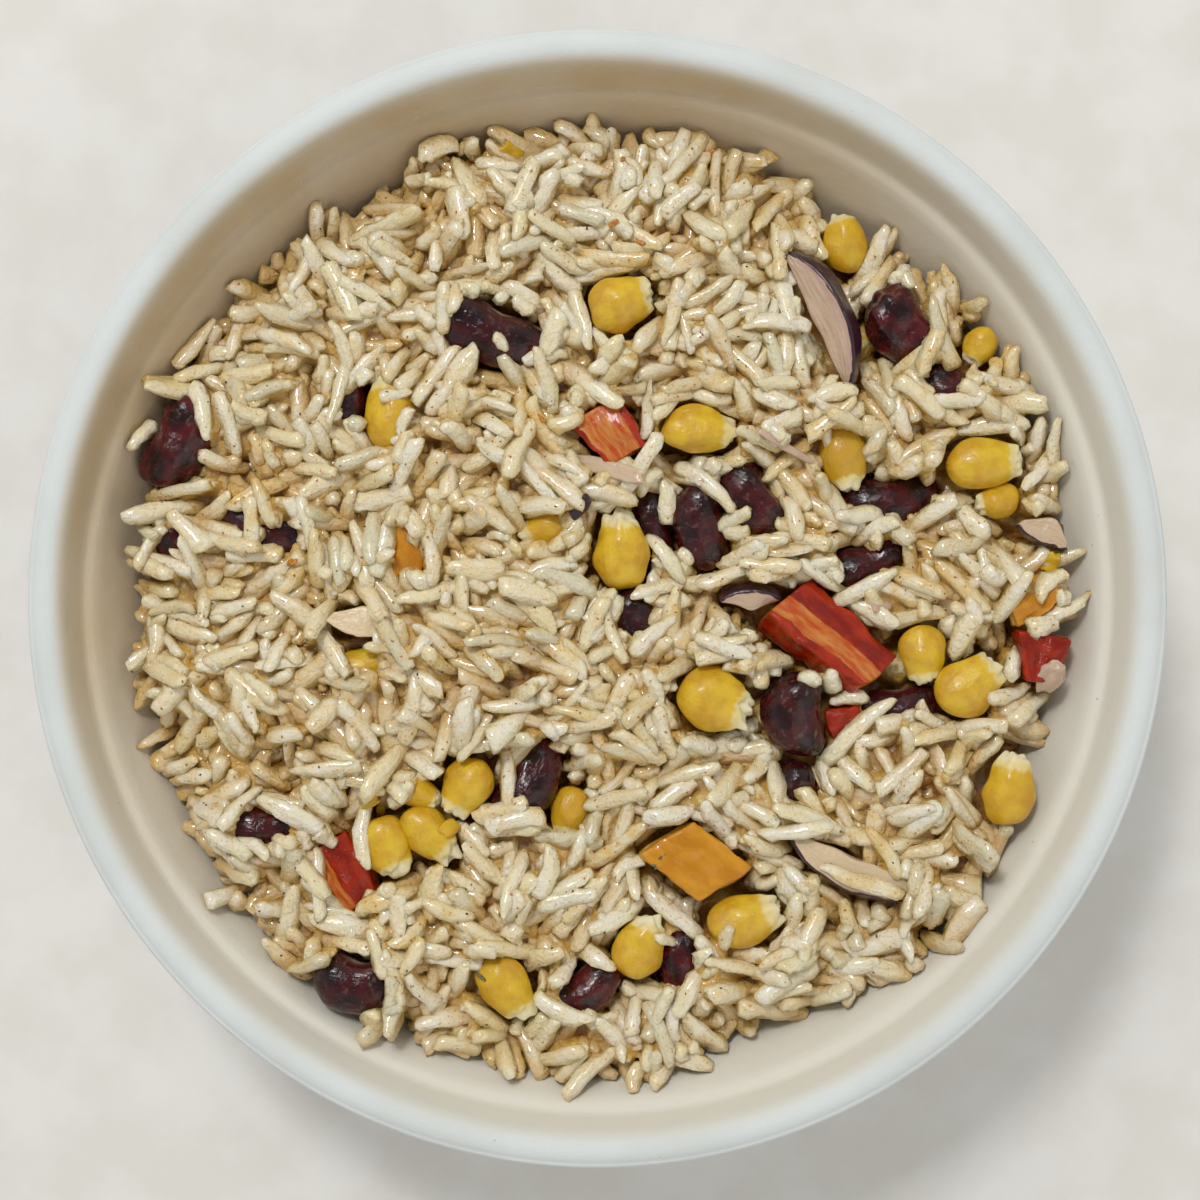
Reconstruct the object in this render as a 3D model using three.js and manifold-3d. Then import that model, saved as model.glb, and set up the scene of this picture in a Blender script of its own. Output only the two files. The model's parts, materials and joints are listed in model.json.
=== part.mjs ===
// A round bowl of moulded plant fibre, filled with a mound of rice salad: long-grain rice, red kidney
// beans, sweetcorn, diced red and orange pepper and slivers of red onion.
// Units are millimetres and degrees. +Z is up, the origin is at the middle of the foot, and +Y is the far
// side of the bowl. Each piece on the mound is placed by where a photograph from straight above shows it.
import * as THREE from "three";
import { mergeVertices } from "three/addons/utils/BufferGeometryUtils.js";
import Module from "manifold-3d";

const wasm = await Module();
wasm.setup();

// ---- The bowl ----------------------------------------------------------------------------------------
const RIM_RADIUS = 80;
const BOWL_HEIGHT = 46;
const WALL = 1.2;
const FLOOR_HEIGHT = 2.2;
const FLOOR_RADIUS = 38;
const FOOT_INNER_RADIUS = 37.5;
const FOOT_OUTER_RADIUS = 42;
const RECESS_HEIGHT = 1;
const LEDGE_RADIUS = 72.3;
const LEDGE_HEIGHT = 37;
const LEDGE_STEP = 1.5;
const RIM_INNER_RADIUS = 75.4;
const LIP_HEIGHT = 4.6;
const LIP_THICKNESS = 1.1;
const WALL_STEPS = 5;
const SPOKES = 36;
const CLEARANCE = 0.35;

// ---- How the photograph maps to the bowl -------------------------------------------------------------
const CAMERA_HEIGHT = 345;
const PHOTO_CENTRE_X = 597.5;
const PHOTO_CENTRE_Y = 598.5;
const PHOTO_RIM_RADIUS = 573;

// ---- The mound ---------------------------------------------------------------------------------------
const MOUND_RADIUS = 69.8;
const MOUND_TOP = 37.6;
const MOUND_SHOULDER = 35.2;
const EDGE_BAND = 6;
const EDGE_DROP = 9;
const EDGE_STEEPNESS = 5;
// A piece by the edge is held by the rice a little nearer to the middle.
const INBOARD = 0.94;
const RING_RADII = [9, 18, 27, 36, 44, 51, 57, 61.5, 65, 68.5, 72];

// Where the edge of the mound stands further out or further in than its mean radius.
const LOBES = [
  { at: 22, half: 9, out: 5 },
  { at: 40, half: 7, out: 5.4 },
  { at: 54, half: 8, out: -7 },
  { at: 96, half: 5, out: -1.8 },
  { at: 106, half: 6, out: 2.8 },
  { at: 117, half: 7, out: -2.6 },
  { at: 136, half: 6, out: -2 },
  { at: 154, half: 9, out: 3 },
  { at: 171, half: 6, out: -3.6 },
  { at: 200, half: 9, out: -3.4 },
  { at: 222, half: 9, out: 1.2 },
  { at: 275, half: 9, out: 3.2 },
  { at: 291, half: 7, out: -3.4 },
  { at: 317, half: 8, out: 6 },
  { at: 341, half: 6, out: -2.4 },
];

// Raised clumps and hollows of the mound: middle and reach in the photograph's pixels, height in mm.
const SWELLS = [
  { at: [420, 620], reach: 170, rise: 2.0 },
  { at: [330, 440], reach: 110, rise: 0.9 },
  { at: [560, 220], reach: 120, rise: 0.8 },
  { at: [720, 330], reach: 80, rise: 1.1 },
  { at: [970, 420], reach: 80, rise: 1.2 },
  { at: [990, 560], reach: 70, rise: 0.8 },
  { at: [900, 830], reach: 90, rise: 1.0 },
  { at: [560, 690], reach: 70, rise: 1.0 },
  { at: [560, 800], reach: 55, rise: -2.6 },
  { at: [660, 580], reach: 50, rise: -2.2 },
  { at: [870, 530], reach: 60, rise: -1.4 },
  { at: [810, 770], reach: 55, rise: -1.6 },
  { at: [330, 850], reach: 60, rise: -1.4 },
  { at: [640, 980], reach: 110, rise: -1.0 },
];

// ---- The pieces on the mound -------------------------------------------------------------------------
// at: the middle in the photograph's pixels. size: length, width and thickness. turn: heading of the
// length, anticlockwise from +X. lean: how far the leading end dips. roll: turn about the length.
// rise: how far the top stands over the rice beside it. sunk: depth of the hollow that the piece lies in.
const BEANS = numbered("bean", [
  { at: [490, 330], size: [18, 8.8, 7.4], turn: -24, lean: 3, roll: 15, rise: 2.9, sunk: 1.6 },
  { at: [171, 440], size: [14.5, 9, 7.6], turn: 64, lean: -8, roll: 10, rise: 2.6, sunk: 1.8 },
  { at: [338, 402], size: [12, 6.8, 6.4], turn: 82, rise: 1.5, sunk: 3 },
  { at: [906, 323], size: [13, 9.2, 7.8], turn: -52, lean: 8, roll: 20, rise: 3.0, sunk: 2 },
  { at: [962, 386], size: [12.5, 8, 7], turn: -12, rise: 1.6, sunk: 3.2 },
  { at: [703, 526], size: [13.5, 8, 7.4], turn: -76, lean: 8, roll: 10, rise: 3.0, sunk: 2 },
  { at: [757, 499], size: [13.5, 8.4, 7.2], turn: -50, lean: 2, rise: 2.2, sunk: 2.4 },
  { at: [654, 530], size: [13, 6.2, 6], turn: -78, lean: 4, rise: 1.3, sunk: 3.4 },
  { at: [641, 625], size: [11.5, 7, 6.4], turn: -62, lean: 6, rise: 1.4, sunk: 3.2 },
  { at: [897, 499], size: [14.5, 8, 7.2], turn: 6, rise: 1.7, sunk: 3 },
  { at: [872, 565], size: [13.5, 8, 7], turn: 18, roll: 10, rise: 1.7, sunk: 3 },
  { at: [798, 716], size: [12.5, 9.6, 8.4], turn: -82, lean: 10, roll: 10, rise: 3.4, sunk: 2 },
  { at: [802, 797], size: [10, 8, 7], turn: -64, lean: 12, rise: 1.8, sunk: 2.8 },
  { at: [906, 708], size: [11.6, 6.6, 6], turn: 10, rise: 1.3, sunk: 3.2 },
  { at: [526, 783], size: [14.5, 8.2, 7.4], turn: 62, lean: 4, rise: 2.2, sunk: 2 },
  { at: [256, 829], size: [13, 8.4, 7.2], turn: -6, rise: 2.2, sunk: 2.2 },
  { at: [355, 983], size: [12.6, 8.6, 7.4], turn: -8, lean: -4, roll: 12, rise: 4.0, sunk: 0.8 },
  { at: [583, 997], size: [11.6, 7.6, 6.8], turn: 28, rise: 2.1, sunk: 2 },
  { at: [686, 973], size: [12, 7.6, 6.6], turn: -80, lean: 4, rise: 1.6, sunk: 2.8 },
  { at: [169, 537], size: [11.5, 7.6, 6.8], turn: -66, rise: 1.6, sunk: 2.8 },
  { at: [262, 528], size: [14.5, 8, 7], turn: -20, rise: 1.4, sunk: 3.2 },
]);

const KERNELS = numbered("corn", [
  { at: [621, 302], size: [9.2, 8.2, 6.4], turn: -158, lean: -4, rise: 2.4, sunk: 1.4 },
  { at: [388, 411], size: [10.4, 7.6, 6], turn: -84, rise: 2.1, sunk: 1.6 },
  { at: [701, 428], size: [10.6, 7, 6], turn: 176, lean: -6, rise: 2.5, sunk: 1.4 },
  { at: [850, 234], size: [8.6, 6.4, 5.4], turn: -80, rise: 1.4, sunk: 1.6 },
  { at: [847, 457], size: [9.4, 7.2, 5.8], turn: 104, rise: 1.8, sunk: 1.8 },
  { at: [988, 461], size: [10.6, 7.8, 6.2], turn: 184, rise: 2.6, sunk: 1.2 },
  { at: [621, 547], size: [10.8, 8.2, 6.4], turn: -88, lean: 4, roll: 4, rise: 3.1, sunk: 0.8 },
  { at: [546, 526], size: [8.2, 6.4, 5.2], turn: 20, rise: 1.4, sunk: 2.6 },
  { at: [361, 668], size: [7.6, 6, 5], turn: 200, rise: 1.0, sunk: 2.4 },
  { at: [716, 701], size: [10.4, 9.4, 6.2], turn: 158, roll: 6, rise: 2.6, sunk: 1.2 },
  { at: [927, 656], size: [8.2, 7, 5.6], turn: 96, rise: 2.2, sunk: 1.2 },
  { at: [974, 685], size: [10, 8.4, 6.4], turn: 215, rise: 3.0, sunk: 1 },
  { at: [1013, 789], size: [10.4, 7.4, 5.8], turn: 262, roll: 8, rise: 2.6, sunk: 0.8 },
  { at: [986, 343], size: [6, 5, 4.2], turn: 60, rise: 2, sunk: 2.4 },
  { at: [466, 790], size: [8.6, 7.2, 6], turn: 60, rise: 2.3, sunk: 1.2 },
  { at: [417, 793], size: [6.6, 5, 4.6], turn: 150, rise: 1.4, sunk: 1.8 },
  { at: [383, 849], size: [9, 7.8, 6], turn: 116, lean: 4, rise: 2.4, sunk: 1.2 },
  { at: [430, 838], size: [9.4, 6.6, 5.8], turn: 136, rise: 2.6, sunk: 1 },
  { at: [748, 923], size: [10.2, 7.8, 6], turn: 200, roll: 6, rise: 2.4, sunk: 1.2 },
  { at: [640, 951], size: [9.6, 7.4, 5.8], turn: 250, lean: 2, rise: 2.5, sunk: 1.2 },
  { at: [506, 991], size: [10, 7.4, 5.8], turn: 124, rise: 2.3, sunk: 1.4 },
  { at: [569, 817], size: [7.2, 6, 5.2], turn: 75, rise: 2.2, sunk: 2 },
  { at: [1002, 500], size: [6.4, 5.2, 4.6], turn: 10, rise: 1.4, sunk: 2 },
]);

// skew slides the two long sides past one another, in degrees. taper narrows the leading end.
const RED_PEPPERS = numbered("red_pepper", [
  { at: [611, 431], size: [8.6, 7.2, 5], turn: -52, roll: 6, rise: 2.0, sunk: 1.6, skew: 10, taper: 0.1 },
  { at: [832, 641], size: [17.6, 8.6, 6], turn: -40, roll: -24, rise: 2.6, sunk: 1, skew: 10, taper: 0.08 },
  { at: [1044, 658], size: [7.2, 6, 5], turn: -98, rise: 1.8, sunk: 1, taper: 0.4 },
  { at: [339, 879], size: [10.4, 8, 5], turn: -58, roll: 8, rise: 2.0, sunk: 2, taper: 0.15 },
  { at: [850, 722], size: [5.4, 4.2, 4], turn: 20, rise: 1.4, sunk: 2.6, taper: 0.2 },
]);

const ORANGE_PEPPERS = numbered("orange_pepper", [
  { at: [696, 862], size: [11.4, 8.6, 5], turn: -37, roll: -6, rise: 2.4, sunk: 1, skew: 22, taper: 0 },
  { at: [1036, 598], size: [7.4, 5.2, 4.4], turn: 28, rise: 1.6, sunk: 1.8, skew: 12, taper: 0.1 },
  { at: [404, 549], size: [8.4, 6, 4.6], turn: 76, rise: 1.3, sunk: 2.4, taper: 0.2 },
]);

// A sliver's size is its chord, its width from the skin inwards, and its thickness. bow is the radius of
// the skin's arc.
const SLIVERS = numbered("onion", [
  { at: [837, 310], size: [21.6, 5.4, 3.2], turn: 114, lean: 2, roll: -30, rise: 2.8, sunk: 0.6, bow: 15.5 },
  { at: [857, 881], size: [23, 4.8, 3], turn: -22, roll: -4, rise: 1.9, sunk: 1, bow: 17.5 },
  { at: [752, 592], size: [9.2, 3.2, 2.8], turn: 180, roll: -20, rise: 1.4, sunk: 1.6, bow: 7 },
  { at: [1042, 541], size: [8.2, 4.6, 2.8], turn: -30, rise: 1.3, sunk: 1.2, bow: 9 },
  { at: [362, 631], size: [10.6, 4.4, 3], turn: -10, roll: -4, rise: 1.6, sunk: 0.8, bow: 9 },
]);

// ---- Colours -----------------------------------------------------------------------------------------
const finish = (color, roughness) => new THREE.MeshStandardMaterial({ color, roughness, metalness: 0 });
const FIBRE = finish(0xe6e0d2, 0.85);
const RICE = finish(0xe4d6b4, 0.45);
const BEAN_SKIN = finish(0x3a1520, 0.25);
const CORN = finish(0xe3ad2a, 0.35);
const RED_PEPPER = finish(0xb93a1c, 0.3);
const ORANGE_PEPPER = finish(0xdb9433, 0.35);
const ONION = finish(0xc9aea2, 0.35);

// ---- Small tools -------------------------------------------------------------------------------------
const radians = THREE.MathUtils.degToRad;
const smooth = (x) => THREE.MathUtils.smoothstep(x, 0, 1);
const bump = (x) => Math.exp(-x * x);

/** Names the pieces of a kind by their order: bean_01, bean_02 and so on. */
function numbered(kind, pieces) {
  return pieces.map((piece, i) => ({ name: `${kind}_${String(i + 1).padStart(2, "0")}`, ...piece }));
}

/** Welds a geometry to bare positions, then moves each of its points with a function. */
function reshape(geometry, move) {
  geometry.deleteAttribute("normal");
  geometry.deleteAttribute("uv");
  const welded = mergeVertices(geometry, 1e-4);
  const positions = welded.getAttribute("position");
  const point = new THREE.Vector3();
  for (let i = 0; i < positions.count; i++) {
    move(point.fromBufferAttribute(positions, i));
    positions.setXYZ(i, point.x, point.y, point.z);
  }
  return welded;
}

/** The solid of a welded geometry, moved by a matrix. */
function solidOf(geometry, matrix = new THREE.Matrix4()) {
  const placed = geometry.clone().applyMatrix4(matrix);
  return new wasm.Manifold(
    new wasm.Mesh({
      numProp: 3,
      vertProperties: placed.getAttribute("position").array,
      triVerts: new Uint32Array(placed.index.array),
    }),
  );
}

/** The geometry of a solid. */
function geometryOf(solid) {
  const mesh = solid.getMesh();
  return new THREE.BufferGeometry()
    .setAttribute("position", new THREE.BufferAttribute(mesh.vertProperties, 3))
    .setIndex(new THREE.BufferAttribute(mesh.triVerts, 1));
}

/** A profile of [radius, height] points turned round the Z axis. */
function turned(profile) {
  const points = profile.map(([radius, height]) => new THREE.Vector2(radius, height));
  const lathe = new THREE.LatheGeometry(points, SPOKES).rotateX(Math.PI / 2);
  return reshape(lathe, () => {});
}

// ---- The bowl's section ------------------------------------------------------------------------------
// The wall leaves the flat floor in one long curve, which steepens to the stacking ledge.
const WALL_CURVE = new THREE.CubicBezierCurve(
  new THREE.Vector2(FLOOR_RADIUS, FLOOR_HEIGHT),
  new THREE.Vector2(56, FLOOR_HEIGHT),
  new THREE.Vector2(66, 22),
  new THREE.Vector2(LEDGE_RADIUS, LEDGE_HEIGHT),
);

/** The inside of the bowl from the floor's middle to the top of the rim, moved inwards by gap. */
function innerSection(gap = 0) {
  const wall = [];
  for (let i = 0; i <= WALL_STEPS; i++) {
    const at = WALL_CURVE.getPoint(i / WALL_STEPS);
    const along = WALL_CURVE.getTangent(i / WALL_STEPS);
    wall.push([at.x - along.y * gap, at.y + along.x * gap]);
  }
  return [
    [0, FLOOR_HEIGHT + gap],
    ...wall,
    [LEDGE_RADIUS + LEDGE_STEP - gap, LEDGE_HEIGHT + LEDGE_STEP / 2 + gap],
    [RIM_INNER_RADIUS - gap, BOWL_HEIGHT - LEDGE_STEP],
    [RIM_INNER_RADIUS + LEDGE_STEP / 2 - gap, BOWL_HEIGHT - LEDGE_STEP / 4],
  ];
}

/** The underside of the bowl from the rim's lip to the foot's middle. */
function outerSection() {
  const wall = [];
  for (let i = WALL_STEPS; i > 1; i--) {
    const at = WALL_CURVE.getPoint(i / WALL_STEPS);
    const along = WALL_CURVE.getTangent(i / WALL_STEPS);
    wall.push([at.x + along.y * WALL, at.y - along.x * WALL]);
  }
  return [
    [RIM_RADIUS - LIP_THICKNESS, BOWL_HEIGHT - LIP_HEIGHT],
    [RIM_RADIUS - LIP_THICKNESS - 1.1, BOWL_HEIGHT - WALL - 0.4],
    [RIM_INNER_RADIUS + WALL, BOWL_HEIGHT - WALL - 0.9],
    [LEDGE_RADIUS + LEDGE_STEP + WALL, LEDGE_HEIGHT],
    ...wall,
    [FOOT_OUTER_RADIUS + 1.5, RECESS_HEIGHT],
    [FOOT_OUTER_RADIUS, 0],
    [FOOT_INNER_RADIUS, 0],
    [FOOT_INNER_RADIUS - 1.2, RECESS_HEIGHT],
    [0, RECESS_HEIGHT],
  ];
}

/** The bowl: one wall of even thickness, with a foot ring, a stacking ledge and a rolled rim. */
function bowlGeometry() {
  const rim = [
    [RIM_RADIUS - 2.6, BOWL_HEIGHT],
    [RIM_RADIUS - 0.9, BOWL_HEIGHT - 0.7],
    [RIM_RADIUS, BOWL_HEIGHT - 2.4],
    [RIM_RADIUS, BOWL_HEIGHT - LIP_HEIGHT],
  ];
  return turned([...innerSection(), ...rim, ...outerSection()].reverse());
}

/** Height of the bowl's inner wall at a distance from the axis. */
function wallHeight(radius) {
  const section = innerSection();
  const i = section.findIndex(([r]) => r >= radius);
  const [[r0, z0], [r1, z1]] = [section[i - 1], section[i]];
  return z0 + ((radius - r0) / (r1 - r0)) * (z1 - z0);
}

// ---- The mound's surface -----------------------------------------------------------------------------
/** Millimetres for each pixel of the photograph, at a height above the table. */
function pixelSize(height) {
  const atRim = RIM_RADIUS / PHOTO_RIM_RADIUS;
  return (atRim * (CAMERA_HEIGHT - height)) / (CAMERA_HEIGHT - BOWL_HEIGHT);
}

/** The point at a height that the photograph shows at a pixel. */
function fromPhoto([across, down], height) {
  const size = pixelSize(height);
  return new THREE.Vector2((across - PHOTO_CENTRE_X) * size, (PHOTO_CENTRE_Y - down) * size);
}

/** How far out the mound reaches in a direction, given in degrees. */
function moundRadius(heading) {
  return LOBES.reduce((radius, lobe) => {
    const away = THREE.MathUtils.euclideanModulo(heading - lobe.at + 180, 360) - 180;
    return radius + lobe.out * bump(away / lobe.half);
  }, MOUND_RADIUS);
}

/** Height of the mound's top, before the hollows that its pieces lie in. */
function swellHeight(x, y) {
  const radius = Math.hypot(x, y);
  const dome = MOUND_SHOULDER + (MOUND_TOP - MOUND_SHOULDER) * (1 - (radius / MOUND_RADIUS) ** 2);
  return SWELLS.reduce((height, swell) => {
    const middle = fromPhoto(swell.at, MOUND_TOP);
    const reach = swell.reach * pixelSize(MOUND_TOP);
    return height + swell.rise * bump(Math.hypot(x - middle.x, y - middle.y) / reach);
  }, dome);
}

/** Height of the mound's top with its hollows, falling to the bowl's wall at its edge. */
function moundHeight(x, y) {
  const radius = Math.hypot(x, y);
  const edge = moundRadius(THREE.MathUtils.radToDeg(Math.atan2(y, x)));
  let height = swellHeight(x, y);
  for (const piece of PIECES) {
    const reach = (piece.size[0] + piece.size[1]) * 0.4;
    height -= piece.sunk * bump(Math.hypot(x - piece.middle.x, y - piece.middle.y) / reach);
  }
  const foot = Math.max(wallHeight(Math.min(edge, RIM_INNER_RADIUS - 0.5)) - 1, height - EDGE_DROP);
  const share = smooth((radius - edge + EDGE_BAND) / EDGE_BAND);
  const beyond = Math.max(0, radius - edge) * EDGE_STEEPNESS;
  return THREE.MathUtils.lerp(height, Math.min(foot, height), share) - beyond;
}

// ---- The pieces' own shapes --------------------------------------------------------------------------
// Each is made along +X about its own middle. grown is what is added all round, for the pocket it sits in.

/** Pulls a unit sphere, whose poles lie on X, towards a fuller or flatter barrel. */
function barrel(point, endPower, sidePower) {
  const side = Math.hypot(point.y, point.z);
  const fuller = side > 1e-6 ? side ** sidePower / side : 0;
  return point.set(Math.sign(point.x) * Math.abs(point.x) ** endPower, point.y * fuller, point.z * fuller);
}

const roundBlank = () => new THREE.SphereGeometry(1, 6, 5).rotateZ(-Math.PI / 2);

/** A kidney bean: a full barrel, bowed towards the eye on its +Y side. */
function beanShape({ size: [length, width, thickness] }, grown) {
  return reshape(roundBlank(), (p) => {
    barrel(p, 0.86, 0.8);
    const eye = p.y > 0 ? 1 - 0.16 * bump(p.x / 0.35) : 1;
    const bow = 0.14 * width * (p.x * p.x - 0.35);
    p.set(p.x * (length / 2 + grown), p.y * eye * (width / 2 + grown) + bow, p.z * (thickness / 2 + grown));
  });
}

/** A sweetcorn kernel: a round crown at +X, narrowing to the blunt cut end. */
function kernelShape({ size: [length, width, thickness] }, grown) {
  return reshape(roundBlank(), (p) => {
    barrel(p, p.x > 0 ? 0.95 : 0.6, p.x > 0 ? 0.85 : 0.6);
    const taper = 1 - 0.3 * smooth((0.35 - p.x) / 1.35);
    const across = p.y * taper * (width / 2 + grown);
    p.set(p.x * (length / 2 + grown), across, p.z * taper * (thickness / 2 + grown));
  });
}

/** A dice of pepper: a slab bowed like the fruit's wall, its skin on top and its corners rounded off. */
function pepperShape({ size: [length, width, thickness], skew = 0, taper }, grown) {
  return reshape(new THREE.BoxGeometry(2, 2, 2, 3, 2, 1), (p) => {
    const corner = 1 - 0.06 * p.x * p.x * p.y * p.y;
    const across = p.y * corner * (1 - taper * p.x) * (width / 2 + grown);
    const along = p.x * corner * (length / 2 + grown) + across * Math.tan(radians(skew));
    const bow = 0.25 * (0.6 - p.y * p.y - 0.5 * p.x * p.x);
    p.set(along, across, p.z * (thickness / 2 + grown) + bow);
  });
}

/** A sliver of one onion layer: an arc, broad in the middle and narrow at its ends, skin at -Y. */
function sliverShape({ size: [chord, width, thickness], bow }, grown) {
  const half = Math.asin(Math.min(1, chord / 2 / bow));
  const depth = bow * Math.cos(half);
  return reshape(new THREE.BoxGeometry(2, 2, 2, 6, 1, 1), (p) => {
    const turn = p.x * (half + grown / bow);
    const breadth = width * (1 - 0.75 * p.x * p.x);
    const inwards = p.y > 0 ? breadth + grown : -grown;
    const radius = bow - inwards;
    const plump = thickness / 2 + grown;
    p.set(radius * Math.sin(turn), (bow + depth) / 2 - radius * Math.cos(turn), p.z * plump);
  });
}

// ---- Placing and building ----------------------------------------------------------------------------
const KINDS = [
  { pieces: BEANS, shape: beanShape, material: BEAN_SKIN },
  { pieces: KERNELS, shape: kernelShape, material: CORN },
  { pieces: RED_PEPPERS, shape: pepperShape, material: RED_PEPPER },
  { pieces: ORANGE_PEPPERS, shape: pepperShape, material: ORANGE_PEPPER },
  { pieces: SLIVERS, shape: sliverShape, material: ONION },
];
const PIECES = KINDS.flatMap(({ pieces }) => pieces);
for (const piece of PIECES) {
  piece.middle = fromPhoto(piece.at, MOUND_TOP);
}

/** Height of the top of a shape that is turned but not yet placed. */
function topOf(geometry, rotation) {
  const matrix = new THREE.Matrix4().makeRotationFromEuler(rotation);
  const turnedShape = geometry.clone().applyMatrix4(matrix);
  turnedShape.computeBoundingBox();
  return turnedShape.boundingBox.max.z;
}

/** The mesh of one piece, turned and set down so that its top stands over the rice by its rise. */
function pieceMesh(piece, shape, material) {
  const mesh = new THREE.Mesh(shape(piece, 0), material);
  mesh.name = piece.name;
  const { roll = 0, lean = 0, turn } = piece;
  mesh.rotation.set(radians(roll), radians(lean), radians(turn), "ZYX");
  const { x, y } = piece.middle;
  const height = moundHeight(x * INBOARD, y * INBOARD) + piece.rise - topOf(mesh.geometry, mesh.rotation);
  mesh.position.set(x, y, height);
  mesh.updateMatrixWorld();
  return mesh;
}

/** The mound: everything under its top surface that the bowl holds, less a pocket for each piece. */
function moundGeometry(pockets) {
  const top = [[0, 1], ...RING_RADII.map((radius) => [radius, 1]), [RING_RADII.at(-1), 0], [0, 0]];
  const blank = reshape(turned(top.reverse()), (p) => {
    p.z = p.z > 0.5 ? moundHeight(p.x, p.y) : 0;
  });
  const cavity = turned([...innerSection(CLEARANCE), [0, BOWL_HEIGHT]]);
  const filled = solidOf(blank).intersect(solidOf(cavity));
  return geometryOf(pockets.reduce((solid, pocket) => solid.subtract(pocket), filled));
}

const salad = new THREE.Group();
const pockets = [];
for (const { pieces, shape, material } of KINDS) {
  for (const piece of pieces) {
    const mesh = pieceMesh(piece, shape, material);
    pockets.push(solidOf(shape(piece, CLEARANCE), mesh.matrixWorld));
    salad.add(mesh);
  }
}

const bowl = new THREE.Mesh(bowlGeometry(), FIBRE);
bowl.name = "bowl";
const rice = new THREE.Mesh(moundGeometry(pockets), RICE);
rice.name = "rice";
salad.add(bowl, rice);

export default salad;
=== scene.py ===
"""Rice salad in a round bowl of moulded plant fibre, dressed for rendering.

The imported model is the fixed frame: it says where the bowl, the mound of rice and each piece on the mound are. This
script gives each of them its fine shape and finish, and lays thousands of boiled grains where the mound's solid is.
Sizes are in millimetres until a mesh is made, then metres.
"""

from __future__ import annotations

import json
import logging
import math
from collections.abc import Callable, Sequence
from dataclasses import dataclass, field
from enum import Enum

import bpy
import numpy as np
from mathutils import Euler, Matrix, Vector
from mathutils.bvhtree import BVHTree

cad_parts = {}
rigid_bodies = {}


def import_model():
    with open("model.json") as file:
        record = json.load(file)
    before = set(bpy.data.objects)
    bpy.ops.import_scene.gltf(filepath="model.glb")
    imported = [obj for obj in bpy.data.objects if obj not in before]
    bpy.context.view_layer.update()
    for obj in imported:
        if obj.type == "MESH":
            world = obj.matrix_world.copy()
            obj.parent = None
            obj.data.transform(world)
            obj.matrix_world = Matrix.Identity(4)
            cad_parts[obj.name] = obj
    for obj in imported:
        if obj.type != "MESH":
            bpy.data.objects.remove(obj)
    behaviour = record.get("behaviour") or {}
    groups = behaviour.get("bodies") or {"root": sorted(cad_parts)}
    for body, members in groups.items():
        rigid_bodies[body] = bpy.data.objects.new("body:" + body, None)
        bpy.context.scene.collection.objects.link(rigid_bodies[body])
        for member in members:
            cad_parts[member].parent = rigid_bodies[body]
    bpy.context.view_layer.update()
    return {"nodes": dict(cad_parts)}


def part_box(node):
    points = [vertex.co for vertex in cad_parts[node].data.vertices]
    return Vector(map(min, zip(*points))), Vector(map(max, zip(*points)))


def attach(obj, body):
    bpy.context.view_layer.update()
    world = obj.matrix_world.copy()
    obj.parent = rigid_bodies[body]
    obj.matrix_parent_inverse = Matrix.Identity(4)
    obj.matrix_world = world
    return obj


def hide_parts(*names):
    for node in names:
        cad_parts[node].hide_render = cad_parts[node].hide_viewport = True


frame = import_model()

LOG = logging.getLogger("rice_salad")
MM = 0.001
BODY = "root"

Array = np.ndarray
Socket = bpy.types.NodeSocket
Size = tuple[float, float, float]


# ---- The photograph's view ----
@dataclass(frozen=True)
class PhotoView:
    """How a camera straight above the bowl sees it, in millimetres and in the pixels of a 1200 by 1200 image."""

    image: float = 1200.0
    camera_height: float = 345.0
    rim_height: float = 46.0
    rim_radius: float = 80.0
    rim_pixels: float = 573.0
    centre: tuple[float, float] = (597.5, 598.5)
    sensor: float = 36.0

    def pixel(self, height: float) -> float:
        """Millimetres that one pixel covers at a height."""
        at_rim = self.rim_radius / self.rim_pixels
        return at_rim * (self.camera_height - height) / (self.camera_height - self.rim_height)

    def point(self, across: float, down: float, height: float = 37.0) -> tuple[float, float]:
        """The place on a level that a pixel shows.

        Args:
            across: Pixels from the image's left edge.
            down: Pixels from its top edge.
            height: The level, in millimetres above the table.

        Returns:
            X and Y in millimetres.
        """
        size = self.pixel(height)
        return (across - self.centre[0]) * size, (self.centre[1] - down) * size

    def camera(self) -> None:
        """Adds the camera, straight above the bowl with its far side up."""
        data = bpy.data.cameras.new("camera")
        data.sensor_width = self.sensor
        data.lens = self.sensor * self.camera_height / (self.image * self.pixel(0.0))
        data.clip_start = 0.01
        camera = bpy.data.objects.new("camera", data)
        aim_x, aim_y = self.point(self.image / 2, self.image / 2)
        camera.location = Vector((aim_x, aim_y, self.camera_height)) * MM
        bpy.context.scene.collection.objects.link(camera)
        bpy.context.scene.camera = camera


VIEW = PhotoView()


# ---- Numbers and noise ----
def ramp(value: Array | float, low: float, high: float) -> Array:
    """A smooth step from 0 at low to 1 at high."""
    share = np.clip((value - low) / (high - low), 0.0, 1.0)
    return share * share * (3.0 - 2.0 * share)


def bump(value: Array | float) -> Array:
    """A bell of height 1 and half width 1."""
    return np.exp(-np.square(value))


def waves(points: Array, length: float, seed: int) -> Array:
    """Smooth noise: the sum of waves in random directions.

    Args:
        points: Places in millimetres, one row each.
        length: The mean wavelength in millimetres.
        seed: Fixes the waves.

    Returns:
        One value for each point, mostly between -1 and 1.
    """
    rng = np.random.default_rng(seed)
    count = 18
    heading = rng.normal(size=(count, points.shape[1]))
    heading /= np.linalg.norm(heading, axis=1, keepdims=True)
    rate = 2.0 * math.pi / (length * rng.uniform(0.65, 1.5, count))
    phase = rng.uniform(0.0, 2.0 * math.pi, count)
    return np.sin(points @ (heading * rate[:, None]).T + phase).sum(axis=1) / math.sqrt(count)


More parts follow.
